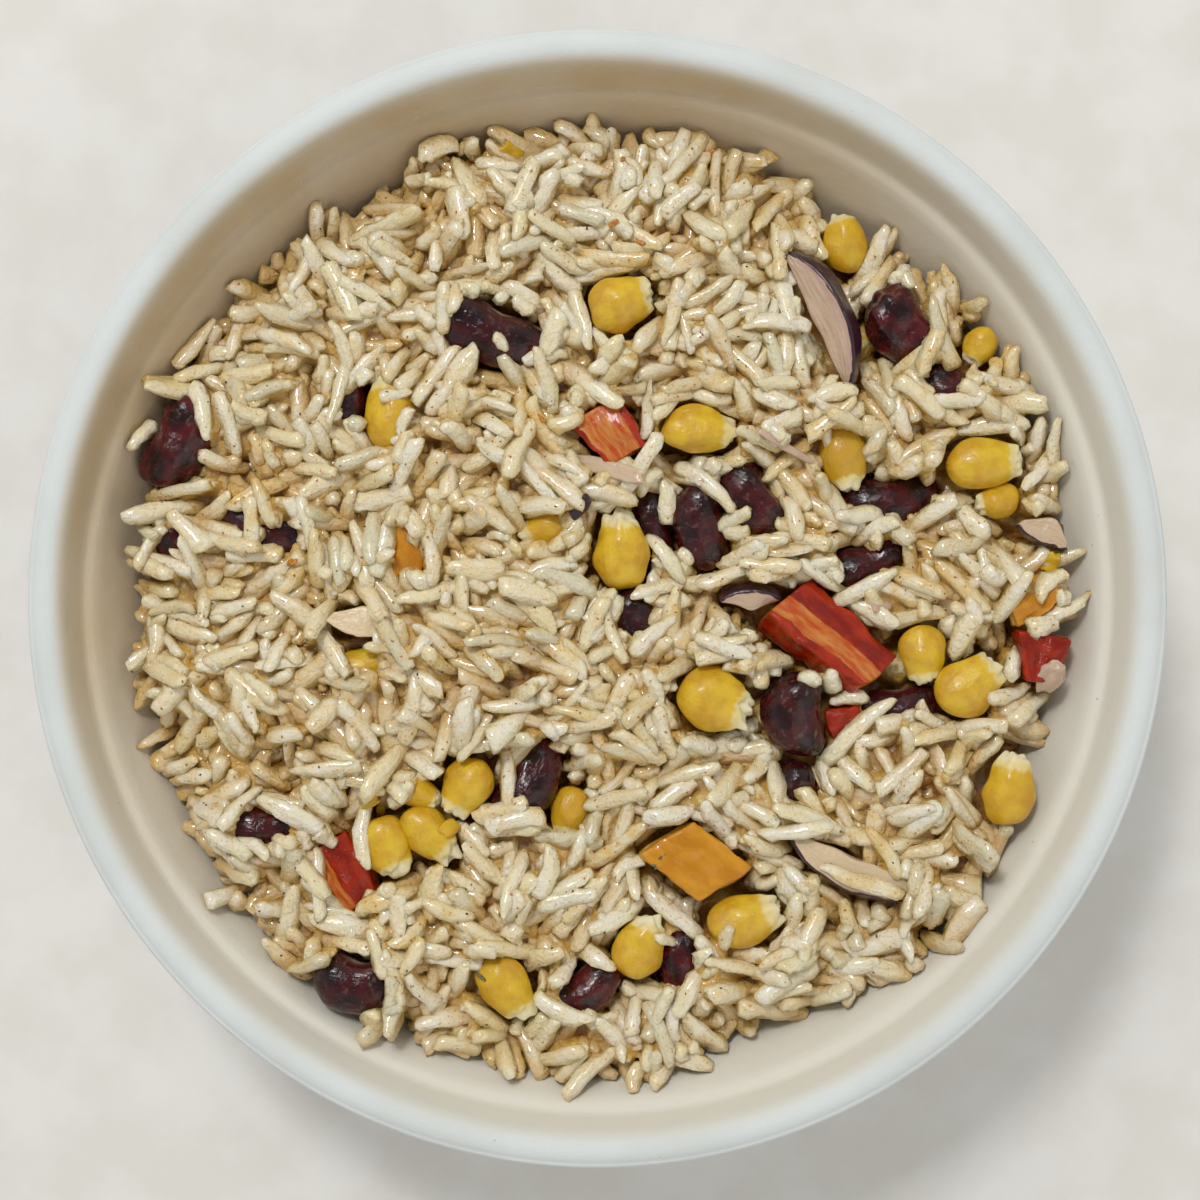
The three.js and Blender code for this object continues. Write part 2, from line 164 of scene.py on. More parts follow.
def turned(points: Array, turn: float, lean: float = 0.0, roll: float = 0.0) -> Array:
    """Points rolled about X, then leaned about Y, then turned about Z, in degrees."""
    angles = (math.radians(roll), math.radians(lean), math.radians(turn))
    return points @ np.array(Euler(angles, "XYZ").to_matrix()).T


# ---- Meshes ----
@dataclass
class Shape:
    """A closed surface in millimetres, with values for its points that the finishes read."""

    points: Array
    faces: list[tuple[int, ...]]
    values: dict[str, Array] = field(default_factory=dict)

    def mesh(self, name: str) -> bpy.types.Mesh:
        """Makes the surface a smooth-shaded mesh in metres.

        Args:
            name: The mesh's name.

        Returns:
            The mesh, with the surface's values as attributes.
        """
        mesh = bpy.data.meshes.new(name)
        mesh.from_pydata((self.points * MM).tolist(), [], self.faces)
        for key, value in self.values.items():
            store(mesh, key, value)
        mesh.shade_smooth()
        return mesh


def store(mesh: bpy.types.Mesh, key: str, value: Array) -> None:
    """Puts one number or one vector for each point on a mesh."""
    flat = np.asarray(value, dtype=np.float32)
    kind, slot = ("FLOAT", "value") if flat.ndim == 1 else ("FLOAT_VECTOR", "vector")
    attribute = mesh.attributes.get(key) or mesh.attributes.new(key, kind, "POINT")
    attribute.data.foreach_set(slot, flat.ravel())


def joined(shapes: Sequence[Shape]) -> Shape:
    """Joins surfaces into one.

    Args:
        shapes: The surfaces, with the same kinds of values.

    Returns:
        All their points and faces as one surface.
    """
    faces: list[tuple[int, ...]] = []
    start = 0
    for shape in shapes:
        faces.extend(tuple(index + start for index in face) for face in shape.faces)
        start += len(shape.points)
    keys = shapes[0].values.keys()
    values = {key: np.concatenate([shape.values[key] for shape in shapes]) for key in keys}
    return Shape(np.concatenate([shape.points for shape in shapes]), faces, values)


def barrel(rings: int, sides: int, place: Callable[[Array, Array, Array], Array]) -> Shape:
    """A closed skin round the X axis with a pole at each end.

    Args:
        rings: Rings between the poles.
        sides: Points in each ring.
        place: Puts a point, given its height on the unit sphere's axis, its distance from it and its angle.

    Returns:
        The surface. Its "rest" values are its points before they are turned or placed.
    """
    polar = np.pi * np.arange(1, rings + 1) / (rings + 1)
    around = 2.0 * np.pi * np.arange(sides) / sides
    axial = np.concatenate([[-1.0], np.repeat(-np.cos(polar), sides), [1.0]])
    radial = np.concatenate([[0.0], np.repeat(np.sin(polar), sides), [0.0]])
    angle = np.concatenate([[0.0], np.tile(around, rings), [0.0]])
    last = rings * sides + 1
    faces: list[tuple[int, ...]] = []
    for side in range(sides):
        after = (side + 1) % sides
        faces.append((0, 1 + after, 1 + side))
        for ring in range(rings - 1):
            low, high = 1 + ring * sides, 1 + (ring + 1) * sides
            faces.append((low + side, low + after, high + after, high + side))
        top = 1 + (rings - 1) * sides
        faces.append((top + side, top + after, last))
    points = place(axial, radial, angle)
    return Shape(points, faces, {"rest": points.copy()})


def block(half: Size, edge: float, steps: int = 14) -> Shape:
    """A box with rounded edges, as six grids that share their seams.

    Args:
        half: Half the box's length, width and thickness.
        edge: Radius of its edges.
        steps: Squares along each side of each grid.

    Returns:
        The surface, with its points as its "rest" values.
    """
    found: dict[tuple[int, int, int], int] = {}
    corners: list[tuple[int, int, int]] = []
    faces: list[tuple[int, ...]] = []

    def index(corner: tuple[int, int, int]) -> int:
        """The number of a grid point, new or seen before."""
        if corner not in found:
            found[corner] = len(corners)
            corners.append(corner)
        return found[corner]

    for axis in range(3):
        for side in (0, steps):
            for i in range(steps):
                for j in range(steps):
                    square = []
                    for di, dj in ((0, 0), (1, 0), (1, 1), (0, 1)):
                        corner = [0, 0, 0]
                        corner[axis] = side
                        corner[(axis + 1) % 3] = i + di
                        corner[(axis + 2) % 3] = j + dj
                        square.append(index((corner[0], corner[1], corner[2])))
                    faces.append(tuple(square if side else reversed(square)))
    unit = np.array(corners, dtype=float) / steps * 2.0 - 1.0
    # Points crowd towards the edges, where the surface bends.
    unit = np.sin(unit * np.pi / 2.0) * 0.55 + unit * 0.45
    size = np.array(half)
    outer = unit * size
    inner = np.clip(outer, edge - size, size - edge)
    away = outer - inner
    length = np.linalg.norm(away, axis=1, keepdims=True)
    points = inner + np.where(length > 1e-9, away / np.maximum(length, 1e-9) * edge, 0.0)
    return Shape(points, faces, {"rest": points.copy()})


def seated(shape: Shape, node: str) -> Shape:
    """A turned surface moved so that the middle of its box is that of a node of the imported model."""
    low, high = (np.array(corner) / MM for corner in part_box(node))
    middle = (shape.points.min(axis=0) + shape.points.max(axis=0)) / 2.0
    return Shape(shape.points + (low + high) / 2.0 - middle, shape.faces, shape.values)


def add_piece(name: str, mesh: bpy.types.Mesh, nodes: Sequence[str] = ()) -> bpy.types.Object:
    """Adds a finished piece that rides on the salad's one body.

    Args:
        name: The piece's name.
        mesh: Its mesh, in place.
        nodes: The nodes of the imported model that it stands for.

    Returns:
        The object.
    """
    piece = bpy.data.objects.new(name, mesh)
    bpy.context.scene.collection.objects.link(piece)
    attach(piece, BODY)
    if nodes:
        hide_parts(*nodes)
    LOG.info("%s: %d faces", name, len(mesh.polygons))
    return piece


# ---- Node trees ----
def colour(code: str) -> tuple[float, float, float, float]:
    """An sRGB hex colour as linear red, green, blue and alpha."""
    parts = [int(code[i : i + 2], 16) / 255.0 for i in (1, 3, 5)]
    linear = [part / 12.92 if part <= 0.04045 else ((part + 0.055) / 1.055) ** 2.4 for part in parts]
    return linear[0], linear[1], linear[2], 1.0


def add_node(tree: bpy.types.NodeTree, kind: str, inputs: dict | None = None, **settings: object) -> bpy.types.Node:
    """Adds a node with its settings, values and links.

    Args:
        tree: The node tree.
        kind: Blender's name for the kind of node.
        inputs: Values for its sockets, by name or number. An output of another node is linked.
        **settings: The node's own settings.

    Returns:
        The node.
    """
    node = tree.nodes.new(kind)
    for key, value in settings.items():
        setattr(node, key, value)
    for key, value in (inputs or {}).items():
        socket = node.inputs[key]
        if isinstance(value, Socket):
            tree.links.new(value, socket)
        else:
            socket.default_value = value
    return node


class Tree:
    """A node tree that grows by one node at a time."""

    tree: bpy.types.NodeTree

    def add(self, kind: str, inputs: dict | None = None, **settings: object) -> bpy.types.Node:
        """Adds a node to this tree."""
        return add_node(self.tree, kind, inputs, **settings)

    def math(self, operation: str, *values: object) -> Socket:
        """One sum of numbers or sockets."""
        return self.add("ShaderNodeMath", dict(enumerate(values)), operation=operation).outputs[0]

    def scaled(self, vector: Socket, share: Socket) -> Socket:
        """A vector times a number."""
        return self.add("ShaderNodeVectorMath", {0: vector, "Scale": share}, operation="SCALE").outputs[0]

    def parts(self, vector: Socket) -> bpy.types.NodeOutputs:
        """The X, Y and Z of a vector."""
        return self.add("ShaderNodeSeparateXYZ", {0: vector}).outputs


class Paint(Tree):
    """A material's node tree, with the few combinations that its finishes share."""

    def __init__(self, name: str) -> None:
        """Starts a material that holds only its shader and output."""
        self.material = bpy.data.materials.new(name)
        self.material.use_nodes = True
        self.tree = self.material.node_tree
        self.shader = self.tree.nodes["Principled BSDF"]
        self.place = self.add("ShaderNodeTexCoord").outputs["Object"]

    def value(self, key: str, kind: str = "Fac") -> Socket:
        """A value stored on the mesh's points."""
        return self.add("ShaderNodeAttribute", attribute_name=key).outputs[kind]

    def noise(
        self, size: float, detail: float = 3.0, place: Socket | None = None, stretch: Size = (1.0, 1.0, 1.0)
    ) -> Socket:
        """Cloudy noise.

        Args:
            size: The width of its patches, in millimetres.
            detail: How many finer layers it has.
            place: Where to read it, in millimetres as rest places are, or else the object's own place in metres.
            stretch: How much longer the patches are along each axis.

        Returns:
            The noise's value, about 0.5 in the mean.
        """
        unit = 1.0 if place else MM
        scale = tuple(1.0 / (size * unit * part) for part in stretch)
        spot = self.add("ShaderNodeMapping", {"Vector": place or self.place, "Scale": scale})
        texture = self.add("ShaderNodeTexNoise", {"Vector": spot.outputs[0], "Scale": 1.0, "Detail": detail})
        return texture.outputs["Fac"]

    def upward(self) -> Socket:
        """How far the surface faces up: the Z of its normal."""
        return self.parts(self.add("ShaderNodeNewGeometry").outputs["Normal"])[2]

    def between(self, value: Socket, low: float, high: float, out: tuple[float, float] = (0.0, 1.0)) -> Socket:
        """A value's smooth share of the way from low to high, as a number between the two of out."""
        inputs = {"Value": value, "From Min": low, "From Max": high, "To Min": out[0], "To Max": out[1]}
        return self.add("ShaderNodeMapRange", inputs, interpolation_type="SMOOTHSTEP").outputs[0]

    def mix(self, share: object, first: object, second: object, blend: str = "MIX") -> Socket:
        """Two colours mixed. Each is a hex code or a socket, and the share is a number or a socket."""
        tones = [colour(tone) if isinstance(tone, str) else tone for tone in (first, second)]
        inputs = {0: share, 6: tones[0], 7: tones[1]}
        return self.add("ShaderNodeMix", inputs, data_type="RGBA", blend_type=blend).outputs[2]

    def relief(self, *layers: tuple[Socket, float]) -> None:
        """Gives the shader its fine relief.

        Args:
            *layers: A height from 0 to 1, and how deep it is in millimetres.
        """
        normal = None
        for height, depth in layers:
            inputs = {"Height": height, "Distance": depth * MM, "Strength": 1.0}
            if normal is not None:
                inputs["Normal"] = normal
            normal = self.add("ShaderNodeBump", inputs).outputs[0]
        self.connect("Normal", normal)

    def wet_film(self, height: Socket, depth: float) -> None:
        """Gives the shader's clear coat a relief of its own, in millimetres, which breaks its glints up."""
        inputs = {"Height": height, "Distance": depth * MM, "Strength": 1.0}
        self.connect("Coat Normal", self.add("ShaderNodeBump", inputs).outputs[0])

    def connect(self, key: str, value: Socket) -> None:
        """Links a socket to the shader."""
        self.tree.links.new(value, self.shader.inputs[key])

    def set(self, **values: object) -> None:
        """Sets plain values on the shader's own sockets. An underscore stands for a space."""
        for key, value in values.items():
            self.shader.inputs[key.replace("_", " ")].default_value = value


class Nodes(Tree):
    """A geometry tree with named inputs, run once on an object and kept as a plain mesh."""

    def __init__(self, name: str) -> None:
        """Starts a tree that passes geometry in and out."""
        self.tree = bpy.data.node_groups.new(name, "GeometryNodeTree")
        self.tree.interface.new_socket("Geometry", in_out="INPUT", socket_type="NodeSocketGeometry")
        self.tree.interface.new_socket("Geometry", in_out="OUTPUT", socket_type="NodeSocketGeometry")
        self.given: dict[str, object] = {}
        self.start = self.tree.nodes.new("NodeGroupInput")

    def input(self, name: str, kind: str, value: object) -> Socket:
        """Adds a named input and the value that it is given.

        Args:
            name: What the input holds.
            kind: The last part of Blender's socket type, such as Float or Material.
            value: The value for the modifier's input.

        Returns:
            The input's socket inside the tree.
        """
        socket = self.tree.interface.new_socket(name, in_out="INPUT", socket_type=f"NodeSocket{kind}")
        self.given[socket.identifier] = value
        return self.start.outputs[name]

    def named(self, key: str, kind: str) -> Socket:
        """Reads a value stored on the points."""
        return self.add("GeometryNodeInputNamedAttribute", {"Name": key}, data_type=kind).outputs[0]

    def finish(self, geometry: Socket, material: bpy.types.Material) -> None:
        """Ends the tree: instances made real, shaded smooth, in their material.

        Args:
            geometry: What the tree has made.
            material: Its finish.
        """
        real = self.add("GeometryNodeRealizeInstances", {"Geometry": geometry})
        smooth = self.add("GeometryNodeSetShadeSmooth", {"Geometry": real.outputs[0]})
        finish = self.input("Finish", "Material", material)
        dressed = self.add("GeometryNodeSetMaterial", {"Geometry": smooth.outputs[0], "Material": finish})
        end = self.tree.nodes.new("NodeGroupOutput")
        self.tree.links.new(dressed.outputs[0], end.inputs[0])

    def grow(self, name: str, seed_mesh: bpy.types.Mesh) -> bpy.types.Mesh:
        """Runs the tree on a mesh and returns what it makes as a plain mesh.

        Args:
            name: The new mesh's name.
            seed_mesh: The geometry that goes in.

        Returns:
            The mesh, free of modifiers and instances.
        """
        carrier = bpy.data.objects.new(f"{name}_carrier", seed_mesh)
        bpy.context.scene.collection.objects.link(carrier)
        modifier = carrier.modifiers.new(self.tree.name, "NODES")
        modifier.node_group = self.tree
        for identifier, value in self.given.items():
            modifier[identifier] = value
        graph = bpy.context.evaluated_depsgraph_get()
        mesh = bpy.data.meshes.new_from_object(carrier.evaluated_get(graph), depsgraph=graph)
        mesh.name = name
        bpy.data.objects.remove(carrier)
        return mesh


# ---- Finishes ----
@dataclass(frozen=True)
class MouldedFibre:
    """Bleached bagasse pulp, pressed wet in a heated mould.

    It is matte and chalky white, with a faint tooth from the pulp, pale threads of fibre that lie every way, and here
    and there a dark speck. Oily dressing has soaked a warm stain into the inside, most on its far left; there the
    browner colour is also painted shade and warm bounce light, as that wall faces away from the lamps. The inside's
    warm tint is painted light bounced from the rice.
    """

    white: str = "#D6DBD9"
    shade: str = "#D0D4D0"
    inside: str = "#DEDACC"
    fibre: str = "#D3CCBE"
    speck: str = "#8A7A62"
    stain_and_shade: str = "#B29058"
    inside_radius: float = 75.6

    def make(self) -> bpy.types.Material:
        """The material."""
        paint = Paint("moulded_fibre")
        mottle = paint.noise(16.0, 4.0)
        tone = paint.mix(paint.between(mottle, 0.4, 0.7), self.white, self.shade)
        wall = paint.parts(paint.place)
        out = paint.add("ShaderNodeCombineXYZ", {0: wall[0], 1: wall[1]})
        reach = paint.add("ShaderNodeVectorMath", {0: out.outputs[0]}, operation="LENGTH").outputs["Value"]
        inside = paint.between(reach, (self.inside_radius + 1.2) * MM, (self.inside_radius - 1.2) * MM)
        inside = paint.math("MULTIPLY", inside, paint.between(paint.upward(), 0.0, 0.12))
        # The inside's warm tint is painted warm light bounced from the rice.
        tone = paint.mix(inside, tone, self.inside)
        # Browner towards the far left, whose wall faces away from the lamps: partly a soaked dressing stain, partly
        # painted shade and warm bounce light.
        far_left = paint.add("ShaderNodeVectorMath", {0: paint.place, 1: (-0.55, 0.83, 0.0)}, operation="DOT_PRODUCT")
        soaked_and_shaded = paint.between(far_left.outputs["Value"], -30.0 * MM, 62.0 * MM, (0.06, 0.8))
        clouds = paint.between(paint.noise(18.0, 3.0), 0.3, 0.7, (0.75, 1.0))
        soaked_and_shaded = paint.math("MULTIPLY", paint.math("MULTIPLY", soaked_and_shaded, clouds), inside)
        tone = paint.mix(soaked_and_shaded, tone, self.stain_and_shade)
        threads = paint.noise(0.35, 2.0, stretch=(1.0, 7.0, 1.0))
        across = paint.noise(0.35, 2.0, stretch=(7.0, 1.0, 1.0))
        felt = paint.math("MAXIMUM", threads, across)
        tone = paint.mix(paint.between(felt, 0.62, 0.8, (0.0, 0.4)), tone, self.fibre)
        cells = paint.add("ShaderNodeTexVoronoi", {"Vector": paint.place, "Scale": 1.0 / (4.5 * MM)})
        rare = paint.between(paint.add("ShaderNodeSeparateColor", {0: cells.outputs["Color"]}).outputs[0], 0.8, 0.82)
        dot = paint.between(cells.outputs["Distance"], 0.05, 0.025)
        tone = paint.mix(paint.math("MULTIPLY", paint.math("MULTIPLY", rare, dot), 0.6), tone, self.speck)
        paint.connect("Base Color", tone)
        paint.connect("Roughness", paint.between(mottle, 0.3, 0.7, (0.72, 0.9)))
        paint.set(Specular_IOR_Level=0.3, IOR=1.5)
        pulp = paint.noise(0.5, 4.0)
        paint.relief((paint.noise(3.0, 2.0), 0.08), (pulp, 0.05), (felt, 0.03))
        return paint.material


@dataclass(frozen=True)
class BoiledRice:
    """Parboiled long-grain rice, boiled soft and tossed in an oily, paprika-tinted dressing.

    Each grain is a little see-through, ivory in its body and chalkier in its heart, with a pocked wet film that
    catches small sharp glints. Dressing stains patches of the grains amber and leaves tiny orange dots of paprika.
    The grains' sides, and grains that lie low between others, are amber and darker: painted shade and warm bounce
    light.
    """

    ivory: str = "#ECE1BA"
    chalk: str = "#EFE8D2"
    straw: str = "#E8D59C"
    glassy: str = "#D2CBAC"
    amber: str = "#DEB046"
    deep: str = "#C89636"
    shaded_flank: str = "#DABA5C"
    paprika: str = "#C47220"

    def make(self) -> bpy.types.Material:
        """The material."""
        paint = Paint("boiled_rice")
        rest = paint.value("rest", "Vector")
        tone = paint.value("tone")
        dressing = paint.value("dressing")
        depth = paint.value("depth")
        own = paint.math("MULTIPLY", tone, 37.0)
        apart = paint.add("ShaderNodeCombineXYZ", {0: own, 1: own, 2: own}).outputs[0]
        local = paint.add("ShaderNodeVectorMath", {0: rest, 1: apart}, operation="ADD").outputs[0]
        heart = paint.noise(2.0, 3.0, local, (2.0, 1.0, 1.0))
        body = paint.mix(paint.between(heart, 0.38, 0.62), self.ivory, self.chalk)
        body = paint.mix(paint.between(tone, 0.45, 0.8, (0.0, 0.6)), body, self.straw)
        body = paint.mix(paint.between(tone, 0.86, 0.93, (0.0, 0.75)), body, self.glassy)
        patch = paint.noise(3.0, 4.0)
        wet = paint.math("MULTIPLY", dressing, paint.between(patch, 0.36, 0.66, (0.1, 1.0)))
        body = paint.mix(paint.math("MULTIPLY", wet, 0.62), body, self.amber)
        # Painted shade and warm bounce light: grains that lie deep under others turn a darker amber.
        body = paint.mix(paint.between(depth, 0.5, 3.4, (0.0, 0.72)), body, self.deep)
        # Painted shade: the grains' sides, facing away from overhead, turn amber.
        body = paint.mix(paint.between(paint.upward(), 0.8, 0.0, (0.0, 0.5)), body, self.shaded_flank)
        dust = paint.noise(0.42, 1.0)
        dusted = paint.math("MULTIPLY", paint.between(dust, 0.63, 0.7), paint.between(patch, 0.42, 0.62, (0.1, 1.0)))
        body = paint.mix(paint.math("MULTIPLY", dusted, 0.75), body, self.paprika)
        grit = paint.between(paint.noise(0.32, 2.0), 0.34, 0.56, (0.22, 0.0))
        paint.connect("Base Color", paint.mix(grit, body, self.straw, "MULTIPLY"))
        film = paint.noise(0.8, 2.0)
        paint.connect("Roughness", paint.between(film, 0.35, 0.65, (0.3, 0.55)))
        paint.set(IOR=1.45, Subsurface_Weight=0.2, Subsurface_Scale=1.4 * MM, Subsurface_Radius=(1.0, 1.0, 0.6))
        paint.set(Coat_Weight=1.0, Coat_Roughness=0.1, Coat_IOR=1.7)
        ridges = paint.noise(0.6, 2.0, local, (4.0, 1.0, 1.0))
        pocks = paint.noise(0.45, 3.0)
        paint.relief((paint.noise(1.0, 3.0), 0.42), (ridges, 0.2), (pocks, 0.2))
        paint.wet_film(paint.noise(1.3, 1.0), 0.12)
        return paint.material


@dataclass(frozen=True)
class BeanSkin:
    """Tinned red kidney bean: a thin, tough skin boiled in its can.

    It is glossy and almost black where it turns away, deep maroon where light falls, with fine wrinkles along the
    bean, a pale scar at its eye, and chalky smears of starch from the rice.
    """

    maroon: str = "#34090D"
    dark: str = "#1A0608"
    red: str = "#520D12"
    starch: str = "#8E6E62"
    scar: str = "#A08A78"

    def make(self) -> bpy.types.Material:
        """The material."""
        paint = Paint("bean_skin")
        rest = paint.value("rest", "Vector")
        tone = paint.value("tone")
        smear = paint.value("smear")
        clouds = paint.noise(3.6, 3.0, rest)
        body = paint.mix(paint.between(clouds, 0.35, 0.65), self.dark, self.maroon)
        body = paint.mix(paint.math("MULTIPLY", tone, paint.between(clouds, 0.38, 0.62)), body, self.red)
        body = paint.mix(paint.value("scar"), body, self.scar)
        streak = paint.noise(1.1, 5.0)
        chalky = paint.math("MULTIPLY", paint.between(streak, 0.56, 0.8), paint.math("MULTIPLY", smear, 0.6))
        body = paint.mix(chalky, body, self.starch)
        paint.connect("Base Color", body)
        paint.connect("Roughness", paint.between(streak, 0.4, 0.7, (0.14, 0.34)))
        paint.set(IOR=1.35, Specular_IOR_Level=0.3, Coat_Weight=0.26, Coat_Roughness=0.06)
        wrinkle = paint.noise(0.7, 3.0, rest, (4.0, 1.0, 1.0))
        paint.wet_film(paint.noise(0.9, 2.0, rest, (2.4, 1.0, 1.0)), 0.1)
        puckers = paint.noise(1.5, 2.0, rest)
        paint.relief((puckers, 0.25), (wrinkle, 0.16), (paint.noise(0.5, 2.0), 0.08))
        return paint.material


@dataclass(frozen=True)
class SweetcornSkin:
    """Tinned sweetcorn kernel: a tight clear hull over soft yellow flesh.

    It is golden and glows from within, deeper in colour towards its edges, paler and ragged where it was cut from the
    cob, with soft broad glints.
    """

    gold: str = "#DDB41E"
    deep: str = "#C48E12"
    shaded_olive: str = "#A98A2C"
    cut: str = "#E3CC84"
    tip: str = "#E6DAB0"

    def make(self) -> bpy.types.Material:
        """The material."""
        paint = Paint("sweetcorn_skin")
        rest = paint.value("rest", "Vector")
        tone = paint.value("tone")
        cut = paint.value("cut")
        clouds = paint.noise(3.5, 3.0, rest)
        body = paint.mix(paint.between(clouds, 0.35, 0.7), self.gold, self.deep)
        body = paint.mix(paint.between(tone, 0.0, 0.6, (0.0, 0.8)), body, self.deep)
        # A kernel with a high tone is tinted olive: painted shade, for a kernel that lies in shade.
        body = paint.mix(paint.between(tone, 0.6, 1.0, (0.0, 0.9)), body, self.shaded_olive)
        fringe = paint.noise(0.7, 3.0, rest, (2.5, 1.0, 1.0))
        torn = paint.math("ADD", cut, paint.math("MULTIPLY", paint.math("SUBTRACT", fringe, 0.5), 0.5))
        body = paint.mix(paint.between(torn, 0.26, 0.55), body, self.cut)
        body = paint.mix(paint.between(torn, 0.6, 0.95), body, self.tip)
        paint.connect("Base Color", body)
        paint.connect("Roughness", paint.between(torn, 0.3, 0.7, (0.38, 0.55)))
        paint.set(IOR=1.42, Coat_Weight=0.2, Coat_Roughness=0.12, Subsurface_Weight=0.35, Subsurface_Scale=1.2 * MM)
        paint.set(Subsurface_Radius=(1.0, 0.65, 0.15))
        paint.relief((paint.noise(2.2, 2.0, rest), 0.3), (paint.noise(0.5, 2.0), 0.09), (fringe, 0.14))
        return paint.material


@dataclass(frozen=True)
class PepperFlesh:
    """Raw sweet pepper, diced with a knife.

    The skin side is smooth and waxy with fine creases, the cut sides are juicy, paler and softly streaked from the
    skin inwards, and the inner side is pale and finely veined.
    """

    name: str
    skin: str
    skin_dark: str
    cut: str
    inner: str

    def make(self) -> bpy.types.Material:
        """The material."""
        paint = Paint(self.name)
        rest = paint.value("rest", "Vector")
        face = paint.value("skin_side")
        creases = paint.noise(0.7, 4.0, rest, (5.0, 1.0, 1.0))
        clouds = paint.noise(2.6, 4.0, rest, (1.8, 1.0, 1.0))
        skin = paint.mix(paint.between(clouds, 0.36, 0.68), self.skin_dark, self.skin)
        flesh = paint.mix(paint.between(creases, 0.3, 0.75), self.cut, self.inner)
        ragged = paint.math("ADD", face, paint.math("MULTIPLY", paint.math("SUBTRACT", creases, 0.5), 0.7))
        body = paint.mix(paint.between(ragged, 0.4, 0.6), flesh, skin)
        paint.connect("Base Color", body)
        paint.connect("Roughness", paint.between(clouds, 0.35, 0.65, (0.2, 0.36)))
        paint.set(IOR=1.36, Specular_IOR_Level=0.3, Coat_Weight=0.2, Coat_Roughness=0.06, Subsurface_Weight=0.15)
        paint.set(Subsurface_Scale=1.0 * MM, Subsurface_Radius=(1.0, 0.35, 0.12))
        paint.relief((clouds, 0.4), (creases, 0.2), (paint.noise(0.5, 2.0), 0.08))
        return paint.material


@dataclass(frozen=True)
class OnionLayer:
    """Raw red onion, one layer of it, sliced.

    The flesh is milky, half clear and ribbed along the layer, and its outer side carries a thin wine-purple skin that
    looks nearly black edge-on.
    """

    flesh: str = "#C8AE92"
    clear: str = "#A88468"
    skin: str = "#2A0E1C"
    blush: str = "#B08A86"
    pale: str = "#DCC49A"

    def make(self) -> bpy.types.Material:
        """The material."""
        paint = Paint("onion_layer")
        rest = paint.value("rest", "Vector")
        rind = paint.value("rind")
        ribs = paint.noise(0.5, 2.0, rest, (12.0, 1.0, 1.0))
        flesh = paint.mix(paint.between(ribs, 0.2, 0.9), self.flesh, self.clear)
        flesh = paint.mix(paint.value("blush"), flesh, self.blush)
        flesh = paint.mix(paint.value("tone"), flesh, self.pale)
        body = paint.mix(paint.between(rind, 0.3, 0.6), flesh, self.skin)
        paint.connect("Base Color", body)
        paint.set(Roughness=0.3, IOR=1.4, Coat_Weight=0.25, Coat_Roughness=0.1)
        paint.set(Subsurface_Weight=0.4, Subsurface_Scale=1.4 * MM, Subsurface_Radius=(1.0, 0.65, 0.5))
        paint.relief((ribs, 0.04), (paint.noise(1.4, 2.0, rest), 0.25), (paint.noise(0.5, 2.0), 0.07))
        return paint.material


@dataclass(frozen=True)
class GroundSpice:
    """Coarsely ground spice or dried herb: chips, uneven in tone, wetted by the dressing."""

    name: str
    light: str
    dark: str

    def make(self) -> bpy.types.Material:
        """The material."""
        paint = Paint(self.name)
        grit = paint.noise(0.4, 2.0)
        paint.connect("Base Color", paint.mix(paint.between(grit, 0.35, 0.65), self.light, self.dark))
        paint.set(Roughness=0.4, IOR=1.45, Coat_Weight=0.3, Coat_Roughness=0.15)
        paint.relief((paint.noise(0.2, 2.0), 0.05))
        return paint.material


@dataclass(frozen=True)
class MashedRice:
    """Crushed grains and dressing between the whole grains: soft, sticky and wet.

    It is nearly the rice's own ivory where it is squeezed up high, with amber patches. Lower down it is amber, and
    brown in the deep gaps: painted shade and warm bounce light.
    """

    ivory: str = "#E4D49C"
    amber: str = "#CC9834"
    shade_brown: str = "#8A5618"

    def make(self) -> bpy.types.Material:
        """The material."""
        paint = Paint("mashed_rice")
        depth = paint.value("depth")
        lumps = paint.noise(1.3, 3.0)
        pools = paint.noise(7.0, 3.0)
        body = paint.mix(paint.between(lumps, 0.35, 0.62), self.amber, self.ivory)
        body = paint.mix(paint.between(pools, 0.45, 0.7, (0.0, 0.7)), body, self.amber)
        # Painted shade and warm bounce light: amber lower down, brown in the deep gaps.
        body = paint.mix(paint.between(depth, 0.8, 2.0, (0.0, 0.7)), body, self.amber)
        body = paint.mix(paint.between(depth, 2.2, 5.0, (0.0, 0.95)), body, self.shade_brown)
        paint.connect("Base Color", body)
        paint.set(Roughness=0.4, IOR=1.45, Coat_Weight=0.5, Coat_Roughness=0.12)
        paint.relief((lumps, 0.7), (paint.noise(0.5, 3.0), 0.2))
        return paint.material


@dataclass(frozen=True)
class StudioPaper:
    """A roll of pale seamless paper: smooth and matte, with the faint cloud of its fibres."""

    tone: str = "#E9E6E0"
    cloud: str = "#E2DED6"

    def make(self) -> bpy.types.Material:
        """The material."""
        paint = Paint("studio_paper")
        cloudy = paint.noise(14.0, 5.0)
        paint.connect("Base Color", paint.mix(paint.between(cloudy, 0.35, 0.65), self.tone, self.cloud))
        paint.set(Roughness=0.8, Specular_IOR_Level=0.3)
        paint.relief((paint.noise(0.8, 4.0), 0.03))
        return paint.material


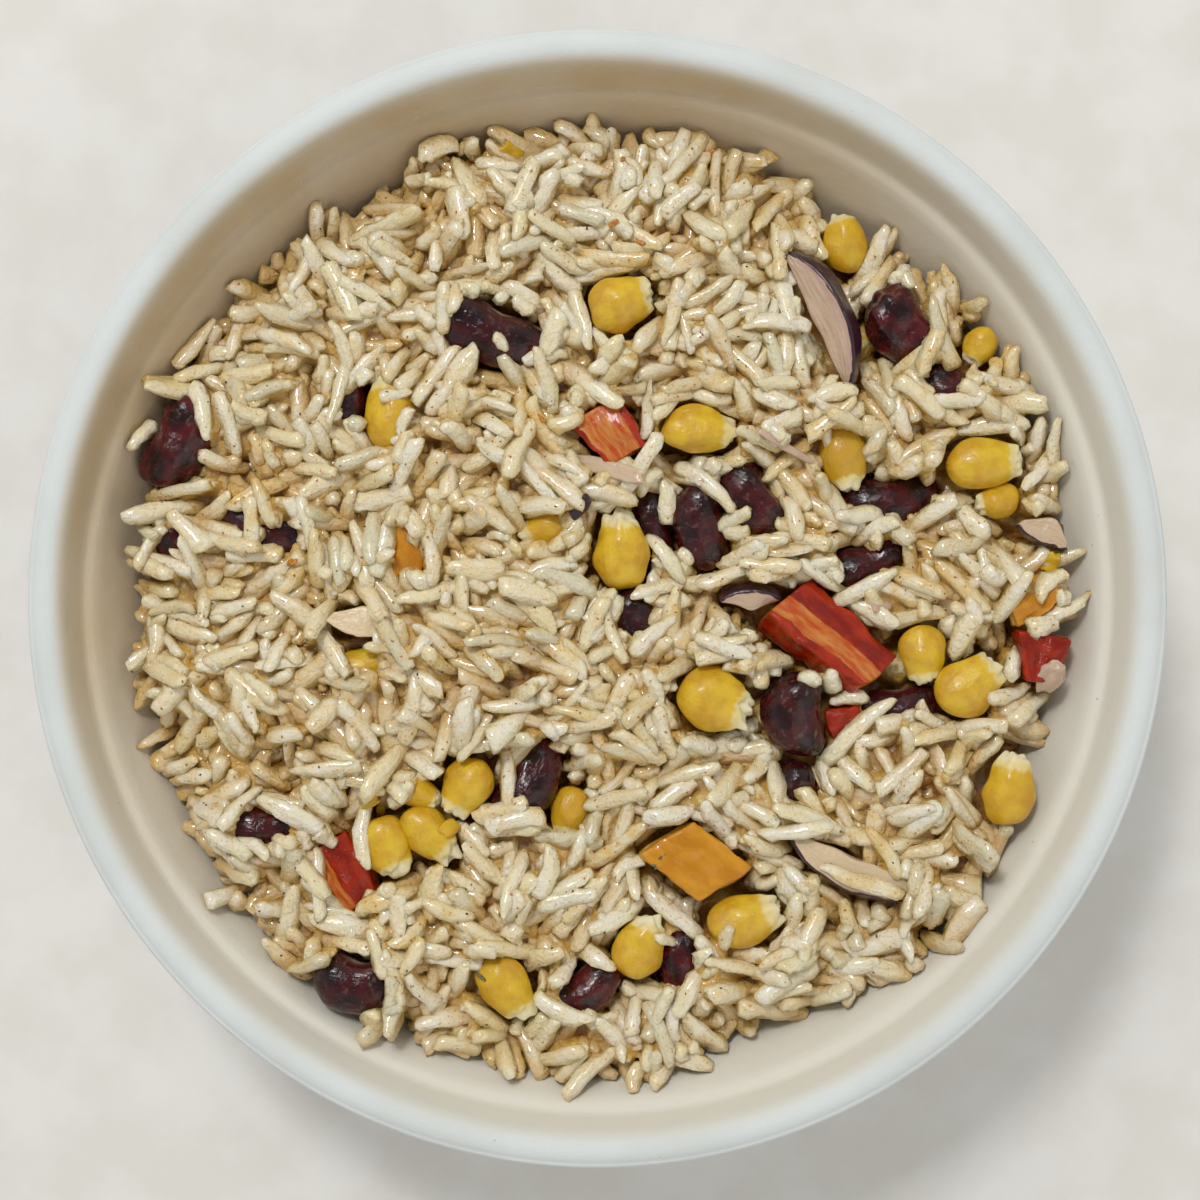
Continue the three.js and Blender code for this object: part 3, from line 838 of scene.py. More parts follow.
# ---- The bowl ----
@dataclass
class Bowl:
    """The moulded bowl: a long curved wall, a stacking ledge, and a rolled rim with a trimmed edge."""

    rim_radius: float = 80.0
    height: float = 46.0
    wall: float = 1.2
    floor_height: float = 2.2
    floor_radius: float = 38.0
    ledge_radius: float = 72.3
    ledge_height: float = 37.0
    foot_radii: tuple[float, float] = (37.5, 42.0)
    recess: float = 1.0
    spokes: int = 256
    finish: MouldedFibre = field(default_factory=MouldedFibre)

    def wall_curve(self, steps: int) -> tuple[Array, Array]:
        """The inner wall from the floor to the ledge.

        Args:
            steps: Stretches that the curve is cut into.

        Returns:
            Its points as [radius, height], and its unit headings.
        """
        at = np.linspace(0.0, 1.0, steps + 1)[:, None]
        ends = np.array([self.floor_radius, self.floor_height]), np.array([self.ledge_radius, self.ledge_height])
        pulls = np.array([56.0, self.floor_height]), np.array([66.0, 22.0])
        away = 1.0 - at
        curve = away**3 * ends[0] + 3 * away**2 * at * pulls[0] + 3 * away * at**2 * pulls[1] + at**3 * ends[1]
        heading = 3 * away**2 * (pulls[0] - ends[0]) + 6 * away * at * (pulls[1] - pulls[0])
        heading = heading + 3 * at**2 * (ends[1] - pulls[1])
        return curve, heading / np.linalg.norm(heading, axis=1, keepdims=True)

    def inner(self) -> Array:
        """The inside's section as [radius, height], from the middle to the rim's crest."""
        curve, _ = self.wall_curve(28)
        ledge = [(72.9, 37.55), (73.4, 37.75), (73.8, 38.2), (74.1, 39.4), (74.9, 43.2)]
        crest = [(75.3, 44.5), (75.8, 45.25), (76.5, 45.75), (77.3, 46.0)]
        return np.array([(0.0, self.floor_height), (20.0, self.floor_height), *curve, *ledge, *crest])

    def outer(self) -> Array:
        """The rest of the section: over the rim, under it, down the outside and across the foot."""
        curve, heading = self.wall_curve(28)
        under = curve + np.stack([heading[:, 1], -heading[:, 0]], axis=1) * self.wall
        rim = [(78.2, 45.9), (78.9, 45.55), (79.2, 45.2), (79.35, 45.25), (79.6, 45.1), (79.9, 44.5), (80.0, 43.6)]
        lip = [(80.0, 42.0), (79.8, 41.45), (79.2, 41.4), (78.95, 41.8), (78.8, 43.3), (78.3, 44.3), (77.4, 44.6)]
        back = [(76.7, 44.2), (76.3, 43.4), (75.35, 38.8), (75.0, 37.6), (74.4, 36.9), (73.7, 36.5)]
        inner_foot, outer_foot = self.foot_radii
        foot = [(45.0, 1.35), (43.4, 0.9), (outer_foot + 0.35, 0.2), (outer_foot - 0.3, 0.0), (inner_foot + 0.3, 0.0)]
        recess = [(inner_foot - 0.4, 0.25), (inner_foot - 1.3, 0.95), (inner_foot - 2.2, self.recess)]
        down = [tuple(point) for point in under[::-1] if 47.0 < point[0] < self.ledge_radius + 1.0]
        return np.array([*rim, *lip, *back, *down, *foot, *recess, (20.0, self.recess), (0.0, self.recess)])

    def wall_height(self, radius: Array) -> Array:
        """Height of the bowl's inside at distances from the axis."""
        section = self.inner()
        return np.interp(radius, section[:, 0], section[:, 1])

    def build(self) -> bpy.types.Object:
        """Turns the section round the axis, with the slight unevenness of pressed pulp."""
        section = np.concatenate([self.inner(), self.outer()])
        radius = self.rim_radius
        # The sweep lays a section's X outwards and its Y downwards.
        flat = np.stack([section[:, 0] - radius, -section[:, 1], np.zeros(len(section))], axis=1) * MM
        outline = bpy.data.meshes.new("bowl_section")
        edges = [(i, (i + 1) % len(flat)) for i in range(len(flat) - 1)]
        outline.from_pydata(flat.tolist(), edges, [])

        nodes = Nodes("turned_bowl")
        path_radius = nodes.input("Path radius", "Float", radius * MM)
        spokes = nodes.input("Spokes", "Int", self.spokes)
        unevenness = nodes.input("Unevenness", "Float", 0.12 * MM)
        path = nodes.add("GeometryNodeCurvePrimitiveCircle", {"Radius": path_radius, "Resolution": spokes})
        profile = nodes.add("GeometryNodeMeshToCurve", {"Mesh": nodes.start.outputs[0]})
        sweep = nodes.add("GeometryNodeCurveToMesh", {"Curve": path.outputs[0], "Profile Curve": profile.outputs[0]})
        sealed = nodes.add("GeometryNodeMergeByDistance", {"Geometry": sweep.outputs[0], "Distance": 0.01 * MM})
        cloud = nodes.add("ShaderNodeTexNoise", {"Scale": 1.0 / (22.0 * MM), "Detail": 1.0})
        shift = nodes.math("MULTIPLY", nodes.math("SUBTRACT", cloud.outputs["Fac"], 0.5), unevenness)
        push = nodes.scaled(nodes.add("GeometryNodeInputNormal").outputs[0], shift)
        uneven = nodes.add("GeometryNodeSetPosition", {"Geometry": sealed.outputs[0], "Offset": push})
        nodes.finish(uneven.outputs[0], self.finish.make())
        return add_piece("moulded_bowl", nodes.grow("moulded_bowl", outline), ["bowl"])


# ---- The pieces on the mound ----
Ellipse = tuple[float, float, float, float]


@dataclass(frozen=True)
class Morsel:
    """One piece on the mound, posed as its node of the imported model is.

    size is its length, width and thickness. turn is the heading of its length, anticlockwise from +X. lean is how far
    the leading end dips, and roll is its turn about its length. shown holds the ellipses in the photograph that a
    partly covered piece shows in, as their middle and half sizes in pixels. A piece without any is all clear of rice.
    """

    node: str
    size: Size
    turn: float
    lean: float = 0.0
    roll: float = 0.0
    tone: float = 0.3
    shown: tuple[Ellipse, ...] = ()

    @property
    def seed(self) -> int:
        """A number of the piece's own, for its chance details."""
        return sum(ord(letter) * (place + 3) for place, letter in enumerate(self.node))

    def posed(self, shape: Shape) -> Shape:
        """A shape turned as this piece lies and put where its node is."""
        points = turned(shape.points, self.turn, self.lean, self.roll)
        return seated(Shape(points, shape.faces, shape.values), self.node)

    def shows(self, x: Array, y: Array) -> Array:
        """Tells where the piece shows.

        Args:
            x: X of some places.
            y: Their Y.

        Returns:
            Whether it shows at each.
        """
        if not self.shown:
            return np.ones(x.shape, dtype=bool)
        size = VIEW.pixel(PIECE_HEIGHT)
        clear = np.zeros(x.shape, dtype=bool)
        for across, down, half_across, half_down in self.shown:
            middle_x, middle_y = VIEW.point(across, down, PIECE_HEIGHT)
            clear |= np.hypot((x - middle_x) / half_across, (y - middle_y) / half_down) < size
        return clear


@dataclass(frozen=True)
class KidneyBean(Morsel):
    """A red kidney bean. smear is how much starch clings to it, and pucker how far its skin has shrunk."""

    smear: float = 0.35
    pucker: float = 0.12

    def shape(self) -> Shape:
        """A full barrel, bowed round its eye, with shallow puckers."""
        length, width, thickness = self.size

        def place(axial: Array, radial: Array, angle: Array) -> Array:
            """Points of the bean's skin, as barrel asks for them."""
            along = np.sign(axial) * np.abs(axial) ** 0.86
            girth = radial**0.8
            across, up = girth * np.cos(angle), girth * np.sin(angle)
            eye = np.where(across > 0, 1.0 - 0.17 * bump(along / 0.33), 1.0)
            bow = 0.15 * width * (along**2 - 0.35)
            slim = 1.0 - 0.07 * along
            return np.stack(
                [along * length / 2, across * slim * eye * width / 2 + bow, up * slim * thickness / 2], axis=1
            )

        skin = barrel(48, 44, place)
        normal = skin.points / np.maximum(np.linalg.norm(skin.points, axis=1, keepdims=True), 1e-6)
        puckers = waves(skin.points * (0.45, 1.0, 1.0), 3.4, self.seed)
        dents = np.minimum(waves(skin.points, 6.0, self.seed + 1), 0.2)
        skin.points += normal * (self.pucker * puckers + 0.22 * dents)[:, None]
        rest = skin.values["rest"]
        scar = bump(rest[:, 0] / 1.5) * bump(rest[:, 2] / 0.55) * (rest[:, 1] > 0)
        count = len(skin.points)
        skin.values["scar"] = scar
        skin.values["tone"] = np.full(count, self.tone)
        skin.values["smear"] = np.full(count, self.smear)
        return skin


@dataclass(frozen=True)
class Kernel(Morsel):
    """A sweetcorn kernel. ragged is how torn its cut end is, and bare how much of its length the cut has bared."""

    ragged: float = 0.5
    bare: float = 0.3

    def shape(self) -> Shape:
        """A round crown at +X that narrows to a blunt, torn end."""
        length, width, thickness = self.size

        def place(axial: Array, radial: Array, angle: Array) -> Array:
            """Points of the kernel's hull, as barrel asks for them."""
            crown = axial > 0
            along = np.sign(axial) * np.abs(axial) ** np.where(crown, 0.95, 0.62)
            girth = radial ** np.where(crown, 0.86, 0.62)
            square = 1.0 + 0.05 * np.cos(4.0 * angle)
            taper = 1.0 - 0.3 * ramp(0.35 - along, 0.0, 1.35)
            across = girth * square * taper * np.cos(angle)
            up = girth * square * taper * np.sin(angle)
            return np.stack([along * length / 2, across * width / 2, up * thickness / 2], axis=1)

        hull = barrel(40, 38, place)
        points = hull.points
        back = -points[:, 0] / (length / 2)
        cut = ramp(back, 1.0 - 2.0 * self.bare, 1.05)
        normal = points / np.maximum(np.linalg.norm(points, axis=1, keepdims=True), 1e-6)
        dents = 0.2 * waves(points, 4.5, self.seed)
        torn = self.ragged * ramp(back, 0.5, 1.0) * waves(points * (0.3, 1.0, 1.0), 1.5, self.seed + 1)
        dimple = -0.35 * bump((points[:, 0] / length - 0.16) / 0.2) * bump(points[:, 1] / width / 0.25)
        hull.points = points + normal * (dents + torn * 0.7 + dimple * (points[:, 2] > 0))[:, None]
        hull.values["cut"] = cut
        hull.values["tone"] = np.full(len(points), self.tone)
        return hull


@dataclass(frozen=True)
class PepperDice(Morsel):
    """A dice of sweet pepper.

    skew slides its long sides past one another, in degrees. taper narrows its leading end. flesh is where flesh shows
    on its upper face, as shares of the way across from its right side.
    """

    skew: float = 0.0
    taper: float = 0.1
    flesh: tuple[float, float] = (0.0, 0.0)

    def shape(self) -> Shape:
        """A slab bowed like the fruit's wall, with knife-cut sides."""
        length, width, thickness = self.size
        slab = block((length / 2, width / 2, thickness / 2), 0.4, 22)
        rest = slab.points
        along, across, up = rest[:, 0] / (length / 2), rest[:, 1] / (width / 2), rest[:, 2]
        corner = 1.0 - 0.05 * (along * across) ** 2
        y = rest[:, 1] * corner * (1.0 - self.taper * along)
        x = rest[:, 0] * corner + y * math.tan(math.radians(self.skew))
        z = up + 0.25 * (0.6 - across**2 - 0.5 * along**2)
        points = np.stack([x, y, z], axis=1)
        points += 0.18 * np.stack([waves(rest, 5.0, self.seed + k) for k in range(3)], axis=1)
        points[:, 2] += 0.12 * waves(rest * (0.4, 1.0, 1.0), 1.8, self.seed + 5)
        points[:, 1] += 0.1 * waves(rest, 1.6, self.seed + 6)
        slab.points = points
        side = ramp(np.clip(0.5 + up / thickness, 0.0, 1.0), 0.6, 0.92)
        low, high = self.flesh
        share = across * 0.5 + 0.5
        streak = 0.025 * waves(rest * (0.4, 1.0, 1.0), 3.0, self.seed + 7)
        bared = ramp(share + streak, low - 0.06, low + 0.06) * (1.0 - ramp(share + streak, high - 0.06, high + 0.06))
        slab.values["skin_side"] = np.maximum(side * (1.0 - bared), ramp(-across, 0.92, 0.99))
        return slab


@dataclass(frozen=True)
class OnionSliver(Morsel):
    """A sliver of one onion layer. bow is the radius of its skin's arc, and rind how thick the purple skin looks."""

    bow: float = 12.0
    rind: float = 0.35

    def shape(self) -> Shape:
        """An arc, broad in the middle and narrow at its ends, skin at -Y."""
        chord, width, thickness = self.size
        half = math.asin(min(1.0, chord / 2 / self.bow))
        depth = self.bow * math.cos(half)
        strip = block((half * self.bow, width / 2, thickness / 2), min(0.4, thickness * 0.3), 26)
        rest = strip.points
        along = rest[:, 0] / (half * self.bow)
        inwards = (rest[:, 1] / width + 0.5) * width * (1.0 - 0.75 * along**2)
        turn = rest[:, 0] / self.bow
        wave = 0.25 * waves(rest, 7.0, self.seed)
        radius = self.bow - inwards + wave
        z = rest[:, 2] * (1.0 - 0.25 * along**2) + 0.3 * waves(rest, 9.0, self.seed + 2)
        strip.points = np.stack([radius * np.sin(turn), (self.bow + depth) / 2 - radius * np.cos(turn), z], axis=1)
        edge = inwards + 0.08 * waves(rest, 1.5, self.seed + 3)
        strip.values["rind"] = 1.0 - ramp(edge, self.rind - 0.12, self.rind + 0.12)
        strip.values["tone"] = np.full(len(rest), self.tone)
        strip.values["blush"] = 0.45 * bump(inwards / (0.9 + 1.2 * self.rind)) + 0.4 * bump((inwards - width) / 0.5)
        return strip


@dataclass
class Garnish:
    """All pieces of one kind, with their finish and slot."""

    pieces: Sequence[Morsel]
    finish: object
    slot: str

    def build(self) -> list[Shape]:
        """Makes each piece in its place.

        Returns:
            The placed shapes, so that the grains can lie against them.
        """
        material = self.finish.make()
        shapes = []
        for piece in self.pieces:
            shape = piece.posed(piece.shape())
            mesh = shape.mesh(piece.node)
            mesh.materials.append(material)
            add_piece(f"{piece.node}_look", mesh, [piece.node])
            shapes.append(shape)
        return shapes


# The height at which the photograph's pixels are read for the tops of pieces and of the grains on them.
PIECE_HEIGHT = 38.5

BEANS = [
    KidneyBean("bean_01", (18.0, 8.8, 7.4), -24, 3, 15, 0.15, ((497, 328, 50, 36),), smear=0.35),
    KidneyBean("bean_02", (14.5, 9.0, 7.6), 64, -8, 10, 0.6, ((160, 440, 30, 46),), smear=0.35, pucker=0.2),
    KidneyBean("bean_03", (12.0, 6.8, 6.4), 82, tone=0.3, shown=((354, 400, 13, 18),)),
    KidneyBean("bean_04", (13.0, 9.2, 7.8), -52, 8, 20, 0.7, ((900, 318, 34, 36),), smear=0.45, pucker=0.35),
    KidneyBean("bean_05", (12.5, 8.0, 7.0), -12, tone=0.5, shown=((948, 378, 18, 18),)),
    KidneyBean("bean_06", (13.5, 8.0, 7.4), -76, 8, 10, 0.3, ((706, 528, 34, 44),), smear=0.7),
    KidneyBean("bean_07", (13.5, 8.4, 7.2), -50, 2, 0, 0.5, ((748, 500, 38, 34),), smear=0.6, pucker=0.2),
    KidneyBean("bean_08", (13.0, 6.2, 6.0), -78, 4, 0, 0.1, ((648, 520, 14, 34),)),
    KidneyBean("bean_09", (11.5, 7.0, 6.4), -62, 6, 0, 0.1, ((634, 617, 17, 18),)),
    KidneyBean("bean_10", (14.5, 8.0, 7.2), 6, tone=0.3, shown=((895, 491, 48, 18),)),
    KidneyBean("bean_11", (13.5, 8.0, 7.0), 18, 0, 10, 0.3, ((862, 565, 22, 18), (893, 556, 14, 12))),
    KidneyBean("bean_12", (12.5, 9.6, 8.4), -82, 10, 10, 0.3, smear=0.6),
    KidneyBean("bean_13", (10.0, 8.0, 7.0), -64, 12, 0, 0.2, ((808, 768, 26, 24),)),
    KidneyBean("bean_14", (11.6, 6.6, 6.0), 10, tone=0.2, shown=((906, 690, 38, 14),)),
    KidneyBean("bean_15", (14.5, 8.2, 7.4), 62, 4, 0, 0.2, ((540, 775, 22, 30),), smear=0.3),
    KidneyBean("bean_16", (13.0, 8.4, 7.2), -6, tone=0.4, shown=((255, 828, 26, 14),)),
    KidneyBean("bean_17", (12.6, 8.6, 7.4), -8, -4, 12, 0.25, ((347, 985, 40, 28),), smear=0.5),
    KidneyBean("bean_18", (11.6, 7.6, 6.8), 28, tone=0.7, shown=((590, 995, 26, 24),)),
    KidneyBean("bean_19", (12.0, 7.6, 6.6), -80, 4, 0, 0.9, ((672, 968, 24, 28),)),
    KidneyBean("bean_20", (11.5, 7.6, 6.8), -66, tone=0.3, shown=((167, 529, 9, 8), (155, 548, 9, 7))),
    KidneyBean("bean_21", (14.5, 8.0, 7.0), -20, tone=0.3, shown=((229, 518, 12, 13), (280, 537, 22, 9))),
]

KERNELS = [
    Kernel("corn_01", (9.2, 8.2, 6.4), -158, -4, tone=0.1),
    Kernel("corn_02", (10.4, 7.6, 6.0), -84, 0, 0, 0.15, ((380, 412, 18, 36),)),
    Kernel("corn_03", (10.6, 7.0, 6.0), 176, -6, tone=0.1, ragged=0.9, bare=0.36),
    Kernel("corn_04", (8.6, 6.4, 5.4), -80, 0, 0, 0.2, ((850, 240, 22, 32),)),
    # This kernel's high tone tints it olive, as painted shade.
    Kernel("corn_05", (9.4, 7.2, 5.8), 104, 0, 0, 0.7, ((848, 456, 22, 26),)),
    Kernel("corn_06", (10.6, 7.8, 6.2), 184, tone=0.1),
    Kernel("corn_07", (10.8, 8.2, 6.4), -88, 4, 4, 0.05, ragged=0.9),
    Kernel("corn_08", (8.2, 6.4, 5.2), 20, 0, 0, 0.4, ((543, 526, 22, 14),)),
    Kernel("corn_09", (7.6, 6.0, 5.0), 200, 0, 0, 0.1, ((362, 661, 20, 13),)),
    Kernel("corn_10", (10.4, 9.4, 6.2), 158, 0, 6, 0.1, ragged=0.9, bare=0.36),
    Kernel("corn_11", (8.2, 7.0, 5.6), 96, tone=0.1),
    Kernel("corn_12", (10.0, 8.4, 6.4), 215, tone=0.1),
    Kernel("corn_13", (10.4, 7.4, 5.8), 262, 0, 8, 0.2, bare=0.4),
    Kernel("corn_14", (6.0, 5.0, 4.2), 60, tone=0.2),
    Kernel("corn_15", (8.6, 7.2, 6.0), 60, tone=0.1),
    Kernel("corn_16", (6.6, 5.0, 4.6), 150, 0, 0, 0.3, ((431, 797, 16, 13),)),
    Kernel("corn_17", (9.0, 7.8, 6.0), 116, 4, tone=0.05),
    Kernel("corn_18", (9.4, 6.6, 5.8), 136, tone=0.1, ragged=0.9, bare=0.4),
    Kernel("corn_19", (10.2, 7.8, 6.0), 200, 0, 6, 0.1, ragged=0.8, bare=0.36),
    Kernel("corn_20", (9.6, 7.4, 5.8), 250, 2, tone=0.12, ragged=0.8, bare=0.36),
    Kernel("corn_21", (10.0, 7.4, 5.8), 124, tone=0.2),
    Kernel("corn_22", (7.2, 6.0, 5.2), 75, 0, 0, 0.45, ((566, 812, 22, 26),)),
    Kernel("corn_23", (6.4, 5.2, 4.6), 10, tone=0.4),
]

RED_PEPPERS = [
    PepperDice("red_pepper_01", (8.6, 7.2, 5.0), -52, 0, 6, 0.3, ((611, 430, 34, 34),), 10, 0.1, (0.1, 0.85)),
    PepperDice("red_pepper_02", (17.6, 8.6, 6.0), -40, 0, -24, skew=10, taper=0.08, flesh=(0.16, 0.52)),
    PepperDice("red_pepper_03", (7.2, 6.0, 5.0), -98, taper=0.4),
    PepperDice("red_pepper_04", (10.4, 8.0, 5.0), -58, 0, 8, 0.3, ((350, 872, 28, 36),), 0, 0.15, (0.0, 0.45)),
    PepperDice("red_pepper_05", (5.4, 4.2, 4.0), 20, 0, 0, 0.3, ((846, 718, 16, 10),), 0, 0.2),
]

ORANGE_PEPPERS = [
    PepperDice("orange_pepper_01", (11.4, 8.6, 5.0), -37, 0, -6, skew=22, taper=0.0),
    PepperDice("orange_pepper_02", (7.4, 5.2, 4.4), 28, 0, 0, 0.3, ((1034, 602, 20, 18),), 12, 0.1),
    PepperDice("orange_pepper_03", (8.4, 6.0, 4.6), 76, 0, 0, 0.3, ((405, 552, 14, 22),), 0, 0.2),
]

SLIVERS = [
    OnionSliver("onion_01", (21.6, 5.4, 3.2), 114, 2, -30, 0.0, bow=15.5, rind=0.45),
    OnionSliver("onion_02", (23.0, 4.8, 3.0), -22, 0, -4, 0.6, ((850, 884, 50, 44), (812, 862, 40, 26)), 17.5, 0.3),
    OnionSliver("onion_03", (9.2, 3.2, 2.8), 180, 0, -20, 0.2, bow=7.0, rind=0.4),
    OnionSliver("onion_04", (8.2, 4.6, 2.8), -30, tone=0.3, bow=9.0, rind=0.25),
    OnionSliver("onion_05", (10.6, 4.4, 3.0), -10, 0, -4, 0.9, ((350, 628, 26, 30),), 9.0, 0.1),
]


# ---- Maps of the mound, seen from above ----
@dataclass
class Map:
    """A square grid over the bowl, in millimetres, that holds one number for each cell."""

    cells: Array
    step: float = 0.3
    reach: float = 81.0

    @classmethod
    def filled(cls, value: float, step: float = 0.3, reach: float = 81.0) -> Map:
        """A grid with the same number everywhere."""
        count = int(round(2 * reach / step)) + 1
        return cls(np.full((count, count), value, dtype=np.float64), step, reach)

    def axes(self) -> tuple[Array, Array]:
        """X and Y of each cell."""
        line = np.arange(len(self.cells)) * self.step - self.reach
        return np.meshgrid(line, line, indexing="ij")

    def index(self, value: Array | float) -> Array:
        """The row or column of a place."""
        return np.clip(np.rint((np.asarray(value) + self.reach) / self.step), 0, len(self.cells) - 1).astype(int)

    def read(self, x: Array, y: Array) -> Array:
        """The numbers at some places, blended between cells.

        Args:
            x: X of the places.
            y: Their Y.

        Returns:
            A number for each.
        """
        column = np.clip((np.asarray(x) + self.reach) / self.step, 0, len(self.cells) - 1.001)
        row = np.clip((np.asarray(y) + self.reach) / self.step, 0, len(self.cells) - 1.001)
        i, j = column.astype(int), row.astype(int)
        u, v = column - i, row - j
        near = self.cells[i, j] * (1 - v) + self.cells[i, j + 1] * v
        far = self.cells[i + 1, j] * (1 - v) + self.cells[i + 1, j + 1] * v
        return near * (1 - u) + far * u

    def heap(self, points: Array) -> None:
        """Raises the cells that points stand over to the highest of them."""
        np.maximum.at(self.cells, (self.index(points[:, 0]), self.index(points[:, 1])), points[:, 2])


def blurred(cells: Array, radius: float) -> Array:
    """Smooths a grid by three running means.

    Args:
        cells: The grid.
        radius: Half the width of each mean, in cells.

    Returns:
        The smoothed grid.
    """
    width = max(1, int(round(radius)))
    for axis in (0, 1):
        for _ in range(3):
            pad = [(width + 1, width) if a == axis else (0, 0) for a in (0, 1)]
            total = np.cumsum(np.pad(cells, pad, mode="edge"), axis=axis)
            size = 2 * width + 1
            high = np.take(total, range(size, total.shape[axis]), axis=axis)
            low = np.take(total, range(0, total.shape[axis] - size), axis=axis)
            cells = (high - low) / size
    return cells


def spread(cells: Array, steps: int = 1) -> Array:
    """A grid in which each cell takes the highest number within some steps of it."""
    for _ in range(steps):
        for axis in (0, 1):
            cells = np.maximum(cells, np.maximum(np.roll(cells, 1, axis), np.roll(cells, -1, axis)))
    return cells


@dataclass
class Mound:
    """The mound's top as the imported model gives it, and the core that the loose grains lie on."""

    bowl: Bowl
    depth: float = 5.0
    lumps: float = 0.85
    clump_size: float = 10.0
    crevice: float = 2.6
    seed: int = 77

    def __post_init__(self) -> None:
        """Reads the mound's top from its solid and gathers it into clumps."""
        self.clumps = self.make_clumps()
        self.top = self.read_top()
        x, y = self.top.axes()
        self.wall = Map(self.bowl.wall_height(np.hypot(x, y)))
        core = np.maximum(self.top.cells - self.depth, self.wall.cells)
        self.core = Map(np.where(self.inside, core, self.wall.cells))

    def make_clumps(self) -> Array:
        """Clumps of grains that stuck together side by side: X, Y, heading and height of each."""
        rng = np.random.default_rng(self.seed)
        reach = self.bowl.ledge_radius + self.clump_size
        line = np.arange(-reach, reach, self.clump_size * 0.9)
        x, y = (grid.ravel() for grid in np.meshgrid(line, line))
        x = x + rng.uniform(-0.5, 0.5, len(x)) * self.clump_size
        y = y + rng.uniform(-0.5, 0.5, len(y)) * self.clump_size
        heading = rng.uniform(0.0, math.pi, len(x))
        # Grains on the left of the mound lie mostly level.
        left = (x < -25.0) & (rng.uniform(size=len(x)) < 0.4)
        heading = np.where(left, rng.normal(0.0, 0.35, len(x)), heading)
        return np.stack([x, y, heading, rng.normal(0.0, 0.8, len(x))], axis=1)

    def clump_relief(self, x: Array, y: Array) -> Array:
        """How far the clumps raise or lower the mound.

        Args:
            x: X of some places.
            y: Their Y.

        Returns:
            The change in height at each.
        """
        bend_x = 2.2 * waves(np.stack([x, y], axis=1), 13.0, self.seed + 1)
        bend_y = 2.2 * waves(np.stack([x, y], axis=1), 13.0, self.seed + 2)
        nearest = np.full(len(x), 1e9)
        second = np.full(len(x), 1e9)
        height = np.zeros(len(x))
        for clump_x, clump_y, _, level in self.clumps:
            gap = np.hypot(x + bend_x - clump_x, y + bend_y - clump_y)
            closer = gap < nearest
            second = np.where(closer, nearest, np.minimum(second, gap))
            height = np.where(closer, level, height)
            nearest = np.where(closer, gap, nearest)
        edge = (second - nearest) / 2.0
        return height * ramp(edge, 0.0, 2.0) - self.crevice * bump(edge / 1.1)

    def read_top(self) -> Map:
        """The height of the rice's solid, with the pockets of its pieces filled in and small lumps added."""
        coarse = Map.filled(-1.0, 0.6)
        tree = self.solid("rice")
        x, y = coarse.axes()
        down = Vector((0.0, 0.0, -1.0))
        heights = coarse.cells
        for i, j in np.argwhere(np.hypot(x, y) < self.bowl.rim_radius - 4.0):
            hit = tree.ray_cast(Vector((x[i, j] * MM, y[i, j] * MM, 0.1)), down)[0]
            if hit is not None:
                heights[i, j] = hit.z / MM
        known = heights > 0.0
        outline = known.copy()
        for node in frame["nodes"]:
            if node in ("rice", "bowl"):
                continue
            low, high = (np.array(corner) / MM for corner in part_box(node))
            over = (x > low[0] - 1) & (x < high[0] + 1) & (y > low[1] - 1) & (y < high[1] + 1)
            known &= ~over
        share = blurred(known.astype(float), 3.0)
        smooth = blurred(np.where(known, heights, 0.0), 3.0) / np.maximum(share, 1e-3)
        wide_share = blurred(known.astype(float), 9.0)
        wide = blurred(np.where(known, heights, 0.0), 9.0) / np.maximum(wide_share, 1e-3)
        coarse.cells = np.where(share > 0.2, smooth, wide)
        inside = blurred(outline.astype(float), 1.5)
        fine = Map.filled(0.0)
        gx, gy = fine.axes()
        places = np.stack([gx.ravel(), gy.ravel()], axis=1)
        lumps = self.lumps * (waves(places, 9.5, 11) + 0.6 * waves(places, 5.0, 12))
        lumps += self.clump_relief(places[:, 0], places[:, 1])
        fine.cells = coarse.read(gx, gy) + lumps.reshape(gx.shape)
        self.inside = Map(inside, 0.6).read(gx, gy) > 0.5
        return fine

    def solid(self, node: str) -> BVHTree:
        """A node's solid, ready for rays."""
        mesh = frame["nodes"][node].data
        points = [vertex.co for vertex in mesh.vertices]
        return BVHTree.FromPolygons(points, [tuple(face.vertices) for face in mesh.polygons])


